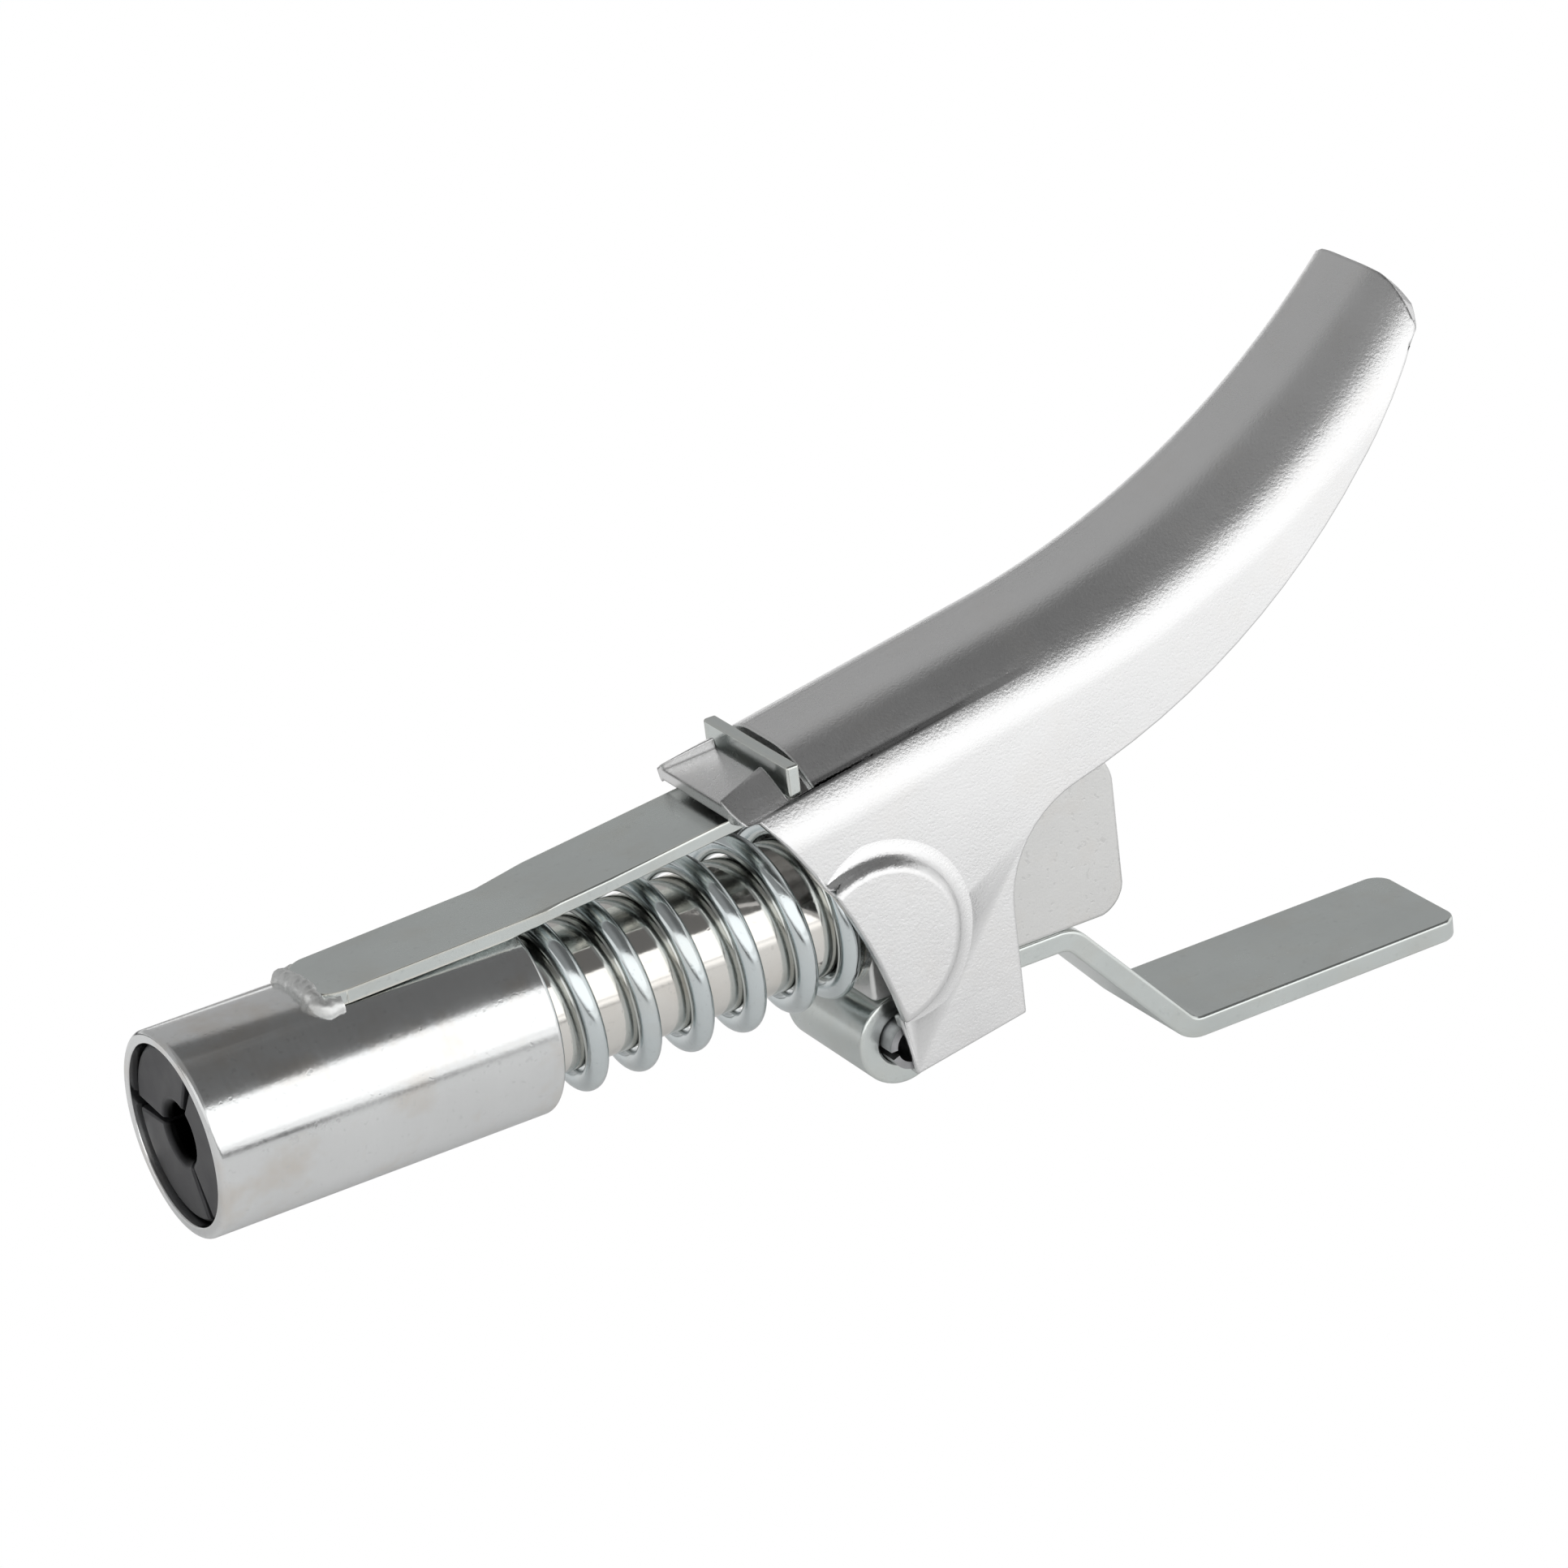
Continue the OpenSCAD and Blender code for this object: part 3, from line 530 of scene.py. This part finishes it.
def new_tree(title, inputs):
    """A geometry tree with named inputs: the tree's graph and the inputs' values."""
    tree = bpy.data.node_groups.new(title, "GeometryNodeTree")
    for name, kind in inputs:
        tree.interface.new_socket(name, in_out="INPUT", socket_type="NodeSocket" + kind)
    tree.interface.new_socket("Geometry", in_out="OUTPUT", socket_type="NodeSocketGeometry")
    graph = Graph(tree)
    group = tree.nodes.new("NodeGroupInput")
    return graph, {socket.name: Value(graph, socket) for socket in group.outputs if socket.name}


def swept_path(graph, count, place, section, normal=None):
    """A section swept along a path whose points a rule places."""
    line = graph.node("GeometryNodeMeshLine", None, {"Count": count})
    placed = graph.node("GeometryNodeSetPosition", None, {"Geometry": line, "Position": place})
    path = graph.node("GeometryNodeMeshToCurve", None, {"Mesh": placed})
    if normal:
        path = graph.node("GeometryNodeSetCurveNormal", {"mode": "FREE"}, {"Curve": path, "Normal": normal})
    return graph.node("GeometryNodeCurveToMesh", None,
                      {"Curve": path, "Profile Curve": section, "Fill Caps": True})


def coil_tree():
    """A closed-end coil spring along X: a wire swept along a helix."""
    graph, given = new_tree("Coil spring", (
        ("Start", "Float"), ("End", "Float"), ("Mean radius", "Float"), ("Wire", "Float"),
        ("Turns", "Float"), ("Steps per turn", "Int"), ("Wire sides", "Int"), ("Finish", "Material")))
    closed_turn = 0.5
    closed_pitch = 1.08
    wire = given["Wire"]
    turns = given["Turns"]
    steps = given["Steps per turn"]
    closed_rise = wire * (closed_turn * closed_pitch)
    open_turns = turns - 2 * closed_turn
    pitch = (given["End"] - given["Start"] - wire - closed_rise * 2) / open_turns
    turn = graph.node("GeometryNodeInputIndex") / steps
    first = turn.at_most(closed_turn) / closed_turn
    middle = (turn - closed_turn).at_least(0).at_most(open_turns)
    last = (turn - turns + closed_turn).at_least(0) / closed_turn
    along = given["Start"] + wire * 0.5 + closed_rise * (first + last) + pitch * middle
    angle = (turn - 0.25) * (2 * math.pi)
    helix = graph.node("ShaderNodeCombineXYZ", None, {
        "X": along,
        "Y": given["Mean radius"] * angle.sum("COSINE", angle),
        "Z": given["Mean radius"] * angle.sum("SINE", angle)})
    section = graph.node("GeometryNodeCurvePrimitiveCircle", None,
                         {"Resolution": given["Wire sides"], "Radius": wire * 0.5})
    return finish_tree(graph, swept_path(graph, turns * steps + 1, helix, section), given["Finish"])


def thread_tree():
    """A thread's ridge inside a bore along X: a trapezium swept along a helix."""
    graph, given = new_tree("Inlet thread", (
        ("Start", "Float"), ("Bore", "Float"), ("Pitch", "Float"), ("Depth", "Float"),
        ("Turns", "Float"), ("Steps per turn", "Int"), ("Finish", "Material")))
    turn = graph.node("GeometryNodeInputIndex") / given["Steps per turn"]
    angle = turn * (2 * math.pi)
    cosine = angle.sum("COSINE", angle)
    sine = angle.sum("SINE", angle)
    radius = given["Bore"] - given["Depth"] * 0.5
    helix = graph.node("ShaderNodeCombineXYZ", None, {
        "X": given["Start"] - given["Pitch"] * turn, "Y": radius * cosine, "Z": radius * sine})
    outward = graph.node("ShaderNodeCombineXYZ", None, {"Y": cosine, "Z": sine})
    section = graph.node("GeometryNodeCurvePrimitiveQuadrilateral", {"mode": "TRAPEZOID"}, {
        "Height": given["Depth"] * 1.2, "Bottom Width": given["Pitch"] * 0.9,
        "Top Width": given["Pitch"] * 0.2, "Offset": 0.0})
    count = given["Turns"] * given["Steps per turn"] + 1
    return finish_tree(graph, swept_path(graph, count, helix, section, outward), given["Finish"])


def weld_tree():
    """A lumpy weld bead on the sleeve: across the strap's front edge and back along its sides."""
    graph, given = new_tree("Weld bead", (
        ("Front", "Float"), ("Half width", "Float"), ("Return", "Float"), ("Seat radius", "Float"),
        ("Bead radius", "Float"), ("Lump", "Float"), ("Steps", "Int"), ("Finish", "Material")))
    lump_scale = 800
    turn_start = 0.6
    share = graph.node("GeometryNodeInputIndex") / given["Steps"] * 2 - 1
    turned = (share.sum("ABSOLUTE", share) - turn_start).at_least(0) / (1 - turn_start)
    across = (share * 1.3).at_least(-1).at_most(1) * given["Half width"]
    seat = given["Seat radius"]
    rise = seat * seat - across * across
    centre = graph.node("ShaderNodeCombineXYZ", None, {
        "X": given["Front"] + given["Return"] * turned * turned,
        "Y": across,
        "Z": rise.sum("SQRT", rise)})
    section = graph.node("GeometryNodeCurvePrimitiveCircle", None,
                         {"Resolution": 20, "Radius": given["Bead radius"]})
    swept = swept_path(graph, given["Steps"] + 1, centre, section)
    lumps = graph.noise(graph.node("GeometryNodeInputPosition"), lump_scale, 2.0) - 0.5
    offset = graph.node("ShaderNodeVectorMath", {"operation": "SCALE"},
                        {0: graph.node("GeometryNodeInputNormal"), "Scale": lumps * 2 * given["Lump"]})
    lumpy = graph.node("GeometryNodeSetPosition", None, {"Geometry": swept, "Offset": offset})
    return finish_tree(graph, lumpy, given["Finish"])


def finish_tree(graph, swept, material):
    """Ends a geometry tree with smooth faces, real geometry and its finish, and gives the tree."""
    smooth = graph.node("GeometryNodeSetShadeSmooth", None, {"Geometry": swept})
    real = graph.node("GeometryNodeRealizeInstances", None, {"Geometry": smooth})
    painted = graph.node("GeometryNodeSetMaterial", None, {"Geometry": real, "Material": material})
    graph.node("NodeGroupOutput", None, {"Geometry": painted})
    return graph.tree


def grown(name, tree, values):
    """A piece that a geometry tree makes from its named inputs."""
    piece = bpy.data.objects.new(name, bpy.data.meshes.new(name))
    modifier = piece.modifiers.new(tree.name, "NODES")
    modifier.node_group = tree
    for item in tree.interface.items_tree:
        if item.in_out == "INPUT":
            modifier[item.identifier] = values[item.name]
    bpy.context.scene.collection.objects.link(piece)
    settle(piece)
    if not piece.data.polygons:
        raise RuntimeError(name + " came out empty")
    piece.data.name = name
    return piece


class COUPLER_OT_sleeve(bpy.types.Operator):
    """Turned sleeve with rounded rims"""

    bl_idname = "coupler.sleeve"
    bl_label = "Sleeve"

    def execute(self, context):
        colours = context.scene.coupler_finish
        finish = plated("bright_zinc", colours.sleeve, (0.88, 0.88, 0.87), 0.17, 0.5, 0.006,
                        streak=(2.5, 0.12, 0.12), grain_gloss=0.06, cloud_share=0.88, tint=0.6)
        piece = softened("sleeve", "sleeve_shell", finish, context.scene.coupler_edges.sleeve)
        stand_for(piece, "sleeve", "sleeve")
        return {"FINISHED"}


class COUPLER_OT_jaws(bpy.types.Operator):
    """Three blackened jaws in the sleeve's mouth"""

    bl_idname = "coupler.jaws"
    bl_label = "Jaws"

    def execute(self, context):
        finish = blackened("black_oxide", context.scene.coupler_finish.jaw)
        for jaw in ("jaw_1", "jaw_2", "jaw_3"):
            piece = softened(jaw, jaw + "_worn", finish, context.scene.coupler_edges.jaws)
            stand_for(piece, jaw, jaw)
        return {"FINISHED"}


class COUPLER_OT_nozzle(bpy.types.Operator):
    """Finishes of the stem, seal, ring, washer and ball inside the nozzle"""

    bl_idname = "coupler.nozzle"
    bl_label = "Nozzle's inner parts"

    def execute(self, context):
        colours = context.scene.coupler_finish
        black = rubber("nitrile", colours.rubber)
        stem = plated("stem_zinc", darker(colours.strip, 0.9), colours.strip_edge, 0.3, 0.6, 0.01)
        copper = bare_metal("copper", colours.copper, darker(colours.copper, 0.5), 0.25)
        steel = bare_metal("ball_steel", (0.6, 0.6, 0.6), (0.5, 0.5, 0.5), 0.1)
        for node, finish in (("nozzle_tip", stem), ("nozzle_seal", black), ("jaw_ring", black),
                             ("tip_washer", copper), ("check_ball", steel)):
            dress(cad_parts[node], finish)
        return {"FINISHED"}


class COUPLER_OT_springs(bpy.types.Operator):
    """Main spring and check spring, wound between their CAD parts' ends"""

    bl_idname = "coupler.springs"
    bl_label = "Springs"

    def execute(self, context):
        sizes = context.scene.coupler_springs
        finish = plated("spring_zinc", context.scene.coupler_finish.spring, (0.8, 0.84, 0.84), 0.16,
                        0.6, 0.006, streak=(0.2, 1, 1), grain_gloss=0.05, cloud_share=0.86)
        tree = coil_tree()
        for node, name, joint, wire, mean, turns, sides, anchor_end in (
                ("main_spring", "main_coil", "sleeve_slide", sizes.main_wire, sizes.main_mean,
                 sizes.main_turns, 32, 1),
                ("check_spring", "check_coil", "check_ball_lift", sizes.check_wire, sizes.check_mean,
                 sizes.check_turns, 12, 0)):
            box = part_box(node)
            piece = grown(name, tree, {
                "Start": box[0].x, "End": box[1].x, "Mean radius": mean, "Wire": wire, "Turns": turns,
                "Steps per turn": 96, "Wire sides": sides, "Finish": finish})
            stand_for(piece, node, "body")
            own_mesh(piece)
        return {"FINISHED"}


class COUPLER_OT_body(bpy.types.Operator):
    """Tube, washer, blasted block and the inlet's thread"""

    bl_idname = "coupler.body"
    bl_label = "Tube and block"

    def execute(self, context):
        colours = context.scene.coupler_finish
        tube = plated("polished_tube", colours.tube, (0.88, 0.87, 0.84), 0.1, 0.5, 0.004,
                      streak=(2.5, 0.15, 0.15), grain_gloss=0.04, cloud_share=0.9)
        washer = plated("washer_zinc", colours.strip, colours.strip_edge, 0.28, 0.5, 0.01)
        barrel = softened("body_tube", "tube_barrel", tube, context.scene.coupler_edges.sleeve)
        stand_for(barrel, "body_tube", "body")
        dress(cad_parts["spring_washer"], washer)
        blasted = plated("blasted_block", colours.block, (0.84, 0.84, 0.82), 0.46, 0.32, 0.03,
                         grain_gloss=0.12, cloud_share=0.9)
        block = softened("body_block", "block_blasted", blasted, context.scene.coupler_edges.block)
        stand_for(block, "body_block", "body")
        thread = context.scene.coupler_thread
        ridge = grown("inlet_thread_ridge", thread_tree(), {
            "Start": -0.6 * thread.pitch, "Bore": thread.bore, "Pitch": thread.pitch,
            "Depth": thread.depth, "Turns": round(thread.length / thread.pitch) - 1,
            "Steps per turn": 48, "Finish": blasted})
        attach(ridge, "body")
        return {"FINISHED"}


class COUPLER_OT_handle(bpy.types.Operator):
    """Bent lower handle, its rivets and the rolled pivot pin"""

    bl_idname = "coupler.handle"
    bl_label = "Lower handle"

    def execute(self, context):
        colours = context.scene.coupler_finish
        strip = plated("handle_zinc", colours.strip, colours.strip_edge, 0.24, 0.45, 0.008,
                       streak=(0.25, 2, 2), grain_gloss=0.08)
        piece = softened("lower_handle", "handle_strip", strip, context.scene.coupler_edges.handle)
        stand_for(piece, "lower_handle", "body")
        dress(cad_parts["handle_rivets"], strip)
        pin = bare_metal("pin_steel", colours.steel, darker(colours.steel, 0.45), 0.34)
        dress(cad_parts["pivot_pin"], pin)
        return {"FINISHED"}


class COUPLER_OT_lever(bpy.types.Operator):
    """Pressed lever with its satin plate"""

    bl_idname = "coupler.lever"
    bl_label = "Lever"
    boss_centre = Vector((-32.0, 0, -1.78)) * MM
    boss_rim = (8.8 * MM, 10.3 * MM)
    sheet_half = 10.5 * MM
    sheet_play = 0.05 * MM
    roll = math.radians(-7)

    def execute(self, context):
        colours = context.scene.coupler_finish
        edges = context.scene.coupler_edges
        # The lever's satin finish darkens its edges to 0.4 of the sheet's colour: painted shade lines along
        # its outline and boss rims.
        sheet, pressed = [plated(name, colours.sheet, darker(colours.sheet, edge_shade_share), 0.3, 0.3, 0.036,
                                 streak=(0.5, 1, 1), grain_gloss=0.14, cloud_share=0.88, pit_depth=0,
                                 tint=0.1, lean=self.roll)
                          for name, edge_shade_share in (("satin_zinc_shaded_edges", 0.4), ("pressed_zinc", 1.0))]
        piece = softened("lever", "lever_sheet", sheet, edges.lever, segments=4, widest=edges.boss,
                         is_wide=self.on_boss)
        stand_for(piece, "lever", "lever")
        for name, side in (("boss_fillet_near", -1), ("boss_fillet_far", 1)):
            fillet = self.boss_fillet(name, side, edges.boss_fillet)
            dress(fillet, pressed)
            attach(fillet, "lever")
        return {"FINISHED"}

    def on_boss(self, place):
        """Whether a point lies on the rim of one of the two pressed bosses."""
        reach = (Vector((place.x, 0, place.z)) - self.boss_centre).length
        inner, outer = self.boss_rim
        return abs(place.y) > self.sheet_half and inner < reach < outer

    def plate_run(self, side, radius, steps=120):
        """The longest run of directions from a boss's axis whose points at a radius lie on the plate."""
        shape = merged_shape("lever")
        sheet = BVHTree.FromBMesh(shape)
        shape.free()
        outs = []
        inside = []
        for step in range(steps):
            angle = 2 * math.pi * step / steps
            out = Vector((math.cos(angle), 0, math.sin(angle)))
            above = self.boss_centre + out * radius + Vector((0, side * 2 * self.sheet_half, 0))
            struck = sheet.ray_cast(above, Vector((0, -side, 0)))[0]
            outs.append(out)
            inside.append(struck is not None and abs(struck.y) > self.sheet_half - self.sheet_play)
        runs = [[]]
        start = inside.index(False)
        for step in range(steps):
            place = (start + step) % steps
            if inside[place]:
                runs[-1].append(outs[place])
            elif runs[-1]:
                runs.append([])
        return max(runs, key=len)

    def boss_fillet(self, name, side, reach):
        """The hollow rounding between a boss and its plate, kept inside the plate's outline."""
        wall = 10.0 * MM
        wall_lap = 0.4 * MM
        room = 1.3
        least_size = 0.1
        fold = math.radians(60)
        sunk = 0.7 * MM
        rise = 0.75 * MM
        skin = 0.02 * MM
        arcs = 8
        fade = 10
        outs = self.plate_run(side, wall + room * reach)
        shape = bmesh.new()
        rows = []
        for index, out in enumerate(outs):
            size = min(1, least_size + min(index, len(outs) - 1 - index) / fade)
            profile = []
            for arc in range(arcs + 1):
                share = arc / arcs
                run = reach * share ** 2 - wall_lap * (1 - share) ** 2
                lift = rise * (1 - share) ** 2 - skin * share ** 2
                profile.append((wall + run * size, lift * size))
            profile.append((wall - sunk, -skin))
            rows.append([shape.verts.new(self.boss_centre + out * radius
                                         + Vector((0, side * (self.sheet_half + lift), 0)))
                         for radius, lift in profile])
        loop = arcs + 2
        for first, second in zip(rows, rows[1:]):
            for here in range(loop):
                after = (here + 1) % loop
                shape.faces.new((first[here], first[after], second[after], second[here]))
        shape.faces.new(rows[0])
        shape.faces.new(rows[-1])
        bmesh.ops.recalc_face_normals(shape, faces=shape.faces)
        mesh = bpy.data.meshes.new(name)
        shape.to_mesh(mesh)
        shape.free()
        piece = link_piece(name, mesh)
        mesh.set_sharp_from_angle(angle=fold)
        return piece


class COUPLER_OT_strap(bpy.types.Operator):
    """Pull strap and the weld beads that hold it on the sleeve"""

    bl_idname = "coupler.strap"
    bl_label = "Pull strap"

    def execute(self, context):
        colours = context.scene.coupler_finish
        edges = context.scene.coupler_edges
        strip = plated("strap_zinc", colours.strip, colours.strip_edge, 0.25, 0.45, 0.008,
                       streak=(0.25, 2, 2), grain_gloss=0.08)
        piece = softened("pull_strap", "strap_strip", strip, edges.strap)
        stand_for(piece, "pull_strap", "sleeve")
        weld = plated("weld_metal", (0.9, 0.91, 0.9), (0.95, 0.95, 0.94), 0.5, 0.3, 0.03)
        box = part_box("strap_weld")
        cad_bead = 0.8 * MM
        beads = grown("weld_beads", weld_tree(), {
            "Front": box[0].x + cad_bead, "Half width": box[1].y - cad_bead, "Return": 2.2 * MM,
            "Seat radius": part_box("sleeve")[1].y, "Bead radius": edges.weld_bead,
            "Lump": edges.weld_lump, "Steps": 90, "Finish": weld})
        stand_for(beads, "strap_weld", "sleeve")
        return {"FINISHED"}


class COUPLER_OT_stage(bpy.types.Operator):
    """Pale floor, white surroundings, soft lights and the photograph's camera"""

    bl_idname = "coupler.stage"
    bl_label = "Stage"

    def execute(self, context):
        stage = context.scene.coupler_stage
        context.scene.view_settings.view_transform = "Standard"
        self.light_world(context.scene, stage)
        self.lay_floor(stage)
        self.hang_lights()
        self.hang_boards(stage)
        self.place_camera(context.scene, stage)
        return {"FINISHED"}

    @staticmethod
    def seen_directly(graph):
        """1 for rays from the camera, and the same for rays from glossy or clear surfaces."""
        camera, glossy, clear = [graph.node("ShaderNodeLightPath", None, None, out=name)
                                 for name in ("Is Camera Ray", "Is Glossy Ray", "Is Transmission Ray")]
        return camera, glossy.at_least(clear)

    def light_world(self, scene, stage):
        """A white world that lights dull surfaces at a plain level."""
        world = bpy.data.worlds.new("White surroundings")
        world.use_nodes = True
        world.node_tree.nodes.clear()
        graph = Graph(world.node_tree)
        camera, mirrored = self.seen_directly(graph)
        backdrop = graph.node("ShaderNodeBackground", None, {"Color": WHITE, "Strength": 1.0})
        ambient = graph.node("ShaderNodeBackground", None, {"Color": WHITE, "Strength": stage.ambient})
        mixed = graph.node("ShaderNodeMixShader", None,
                           {0: camera.at_least(mirrored), 1: ambient, 2: backdrop})
        graph.node("ShaderNodeOutputWorld", None, {"Surface": mixed})
        scene.world = world

    def lay_floor(self, stage):
        """The plane that the sleeve's rim and the handle's bend rest on."""
        play = 0.05 * MM
        bend_x = 7.7 * MM
        rim_round = 0.4 * MM
        rim = Vector((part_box("sleeve")[0].x + rim_round, 0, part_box("sleeve")[0].z))
        bend = Vector((bend_x, 0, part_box("lower_handle")[0].z + play))
        slope = (bend - rim).normalized()
        side = Vector((0, 1, 0))
        up = slope.cross(side).normalized()
        centre = (rim + bend) / 2 - up * play
        reach = 1.2
        corners = [centre + slope * reach * a + side * reach * b
                   for a, b in ((-1, -1), (1, -1), (1, 1), (-1, 1))]
        mesh = bpy.data.meshes.new("floor")
        mesh.from_pydata(corners, [], [(0, 1, 2, 3)])
        floor = bpy.data.objects.new("floor", mesh)
        bpy.context.scene.collection.objects.link(floor)
        dress(floor, self.floor_finish(stage))

    def floor_finish(self, stage):
        """White to the camera, and to metal brighter by the handles, with a dark gap by the nozzle."""
        near_share = 0.25
        near_glow = 0.6
        gap_depth = 0.95
        material, graph = new_finish("pale_floor")
        camera, mirrored = self.seen_directly(graph)
        place = graph.node("ShaderNodeTexCoord", None, None, out="Object")
        along, across = [graph.node("ShaderNodeSeparateXYZ", None, {"Vector": place}, out=axis)
                         for axis in ("X", "Y")]
        away = across.sum("ABSOLUTE", across)
        far = away.between(0.0, 0.05)
        by_handle = along.between(-0.06, 0.0)
        gap = away.between(0.09, 0.1) * (1 - away.between(0.16, 0.18)) * (1 - by_handle)
        spread = near_glow + (1 - near_glow) * away.between(0.1, 0.25)
        glow = stage.nozzle_floor + (stage.handle_floor * spread - stage.nozzle_floor) * by_handle
        lit = graph.node("ShaderNodeBsdfDiffuse", None, {"Color": (*stage.floor, 1)})
        bright = camera + mirrored * glow * (1 - gap * gap_depth)
        white = graph.node("ShaderNodeEmission", None, {"Color": WHITE, "Strength": bright})
        share = camera + mirrored * (near_share + (1 - near_share) * far).at_least(gap)
        top = graph.node("ShaderNodeMixShader", None, {0: share, 1: lit, 2: white})
        under = graph.node("ShaderNodeNewGeometry", None, None, out="Backfacing")
        clear = graph.node("ShaderNodeBsdfTransparent")
        both = graph.node("ShaderNodeMixShader", None, {0: under, 1: top, 2: clear})
        graph.node("ShaderNodeOutputMaterial", None, {"Surface": both})
        return material

    @staticmethod
    def aimed(place, target):
        """The turn that points an object's -Z from a place to a target."""
        return (target - place).to_track_quat("-Z", "Y").to_matrix().to_4x4()

    def hang_lights(self):
        """Two large soft lamps."""
        middle = Vector((-40 * MM, 0, 5 * MM))
        for name, place, size, power in (
                ("soft_overhead", Vector((-0.15, -0.45, 0.75)), 0.7, 2.0),
                ("soft_side", Vector((-0.8, -0.35, 0.35)), 0.5, 0.8)):
            lamp = bpy.data.lights.new(name, "AREA")
            lamp.shape = "SQUARE"
            lamp.size = size
            lamp.energy = power
            holder = bpy.data.objects.new(name, lamp)
            holder.visible_glossy = False
            holder.matrix_world = Matrix.Translation(place) @ self.aimed(place, middle)
            bpy.context.scene.collection.objects.link(holder)

    @staticmethod
    def hang_boards(stage):
        """The dark room behind and above and the bright panel in front, seen only in the metal."""
        back, front, ceiling, foot = 0.8, -1.3, 1.2, -0.03
        half = 2.0
        below = -0.3
        lighter_end = 0.55
        finishes = []
        for name, low, high in (("dark_board", stage.back_board, stage.dark_board),
                                ("front_panel", stage.front_panel, stage.front_panel)):
            material, graph = new_finish(name)
            place = graph.node("ShaderNodeTexCoord", None, None, out="Object")
            along, height = [graph.node("ShaderNodeSeparateXYZ", None, {"Vector": place}, out=axis)
                             for axis in ("X", "Z")]
            ceiling_grey = high + lighter_end * (low - high) * (1 - along.between(-0.4, 0.3))
            grey = low + (ceiling_grey - low) * height.between(0.9, 1.19)
            glow = graph.node("ShaderNodeEmission", None, {"Color": WHITE, "Strength": grey})
            graph.node("ShaderNodeOutputMaterial", None, {"Surface": glow})
            finishes.append(material)
        dark, bright = finishes
        for name, material, low, high in (
                ("board_behind", dark, (back, below), (back, ceiling)),
                ("board_above", dark, (back, ceiling), (front, ceiling)),
                ("panel_front", bright, (front, ceiling), (front, foot))):
            mesh = bpy.data.meshes.new(name)
            corners = [(-half, *low), (half, *low), (half, *high), (-half, *high)]
            mesh.from_pydata(corners, [], [(0, 1, 2, 3)])
            board = bpy.data.objects.new(name, mesh)
            bpy.context.scene.collection.objects.link(board)
            board.visible_camera = False
            board.visible_diffuse = False
            board.visible_shadow = False
            board.visible_transmission = False
            dress(board, material)

    @staticmethod
    def place_camera(scene, stage):
        """The camera, solved from the photograph's edges."""
        across = 1.135 * MM
        above = 13.684 * MM
        target = Vector((-38.2 * MM, 0, 0))
        back = Vector((math.sin(stage.azimuth) * math.cos(stage.elevation),
                       -math.cos(stage.azimuth) * math.cos(stage.elevation),
                       math.sin(stage.elevation)))
        level = (-back).cross(Vector((0, 0, 1))).normalized()
        upright = level.cross(-back)
        right = math.cos(stage.roll) * level + math.sin(stage.roll) * upright
        up = -math.sin(stage.roll) * level + math.cos(stage.roll) * upright
        turn = Matrix((right, up, back)).transposed().to_4x4()
        place = target + back * stage.distance + right * across + up * above
        data = bpy.data.cameras.new("photo_camera")
        data.lens = stage.lens
        data.sensor_width = 36
        data.clip_start = 0.01
        data.clip_end = 20
        camera = bpy.data.objects.new("photo_camera", data)
        camera.matrix_world = Matrix.Translation(place) @ turn
        scene.collection.objects.link(camera)
        scene.camera = camera


class COUPLER_PT_looks(bpy.types.Panel):
    """The coupler's sizes, colours and steps"""

    bl_idname = "COUPLER_PT_looks"
    bl_label = "Grease coupler"
    bl_space_type = "VIEW_3D"
    bl_region_type = "UI"
    bl_category = "Coupler"

    def draw(self, context):
        for title, group in SETTINGS.items():
            box = self.layout.box()
            box.label(text=group.__doc__)
            settings = getattr(context.scene, title)
            for name in group.__annotations__:
                box.prop(settings, name)
        for operator in OPERATORS:
            self.layout.operator(operator.bl_idname)


SETTINGS = {
    "coupler_finish": FinishSettings,
    "coupler_edges": EdgeSettings,
    "coupler_springs": SpringSettings,
    "coupler_thread": ThreadSettings,
    "coupler_stage": StageSettings,
}
OPERATORS = (COUPLER_OT_sleeve, COUPLER_OT_jaws, COUPLER_OT_nozzle, COUPLER_OT_springs, COUPLER_OT_body,
             COUPLER_OT_handle, COUPLER_OT_lever, COUPLER_OT_strap, COUPLER_OT_stage)
CLASSES = (*SETTINGS.values(), *OPERATORS, COUPLER_PT_looks)


def register():
    """Registers the classes and their settings."""
    for entry in CLASSES:
        bpy.utils.register_class(entry)
    for name, group in SETTINGS.items():
        setattr(bpy.types.Scene, name, PointerProperty(type=group))


def unregister():
    """Removes what register added."""
    for name in SETTINGS:
        delattr(bpy.types.Scene, name)
    for entry in reversed(CLASSES):
        bpy.utils.unregister_class(entry)


def main():
    """Builds every piece, then the stage."""
    register()
    for operator in OPERATORS:
        group, name = operator.bl_idname.split(".")
        getattr(getattr(bpy.ops, group), name)()


if __name__ == "__main__":
    main()
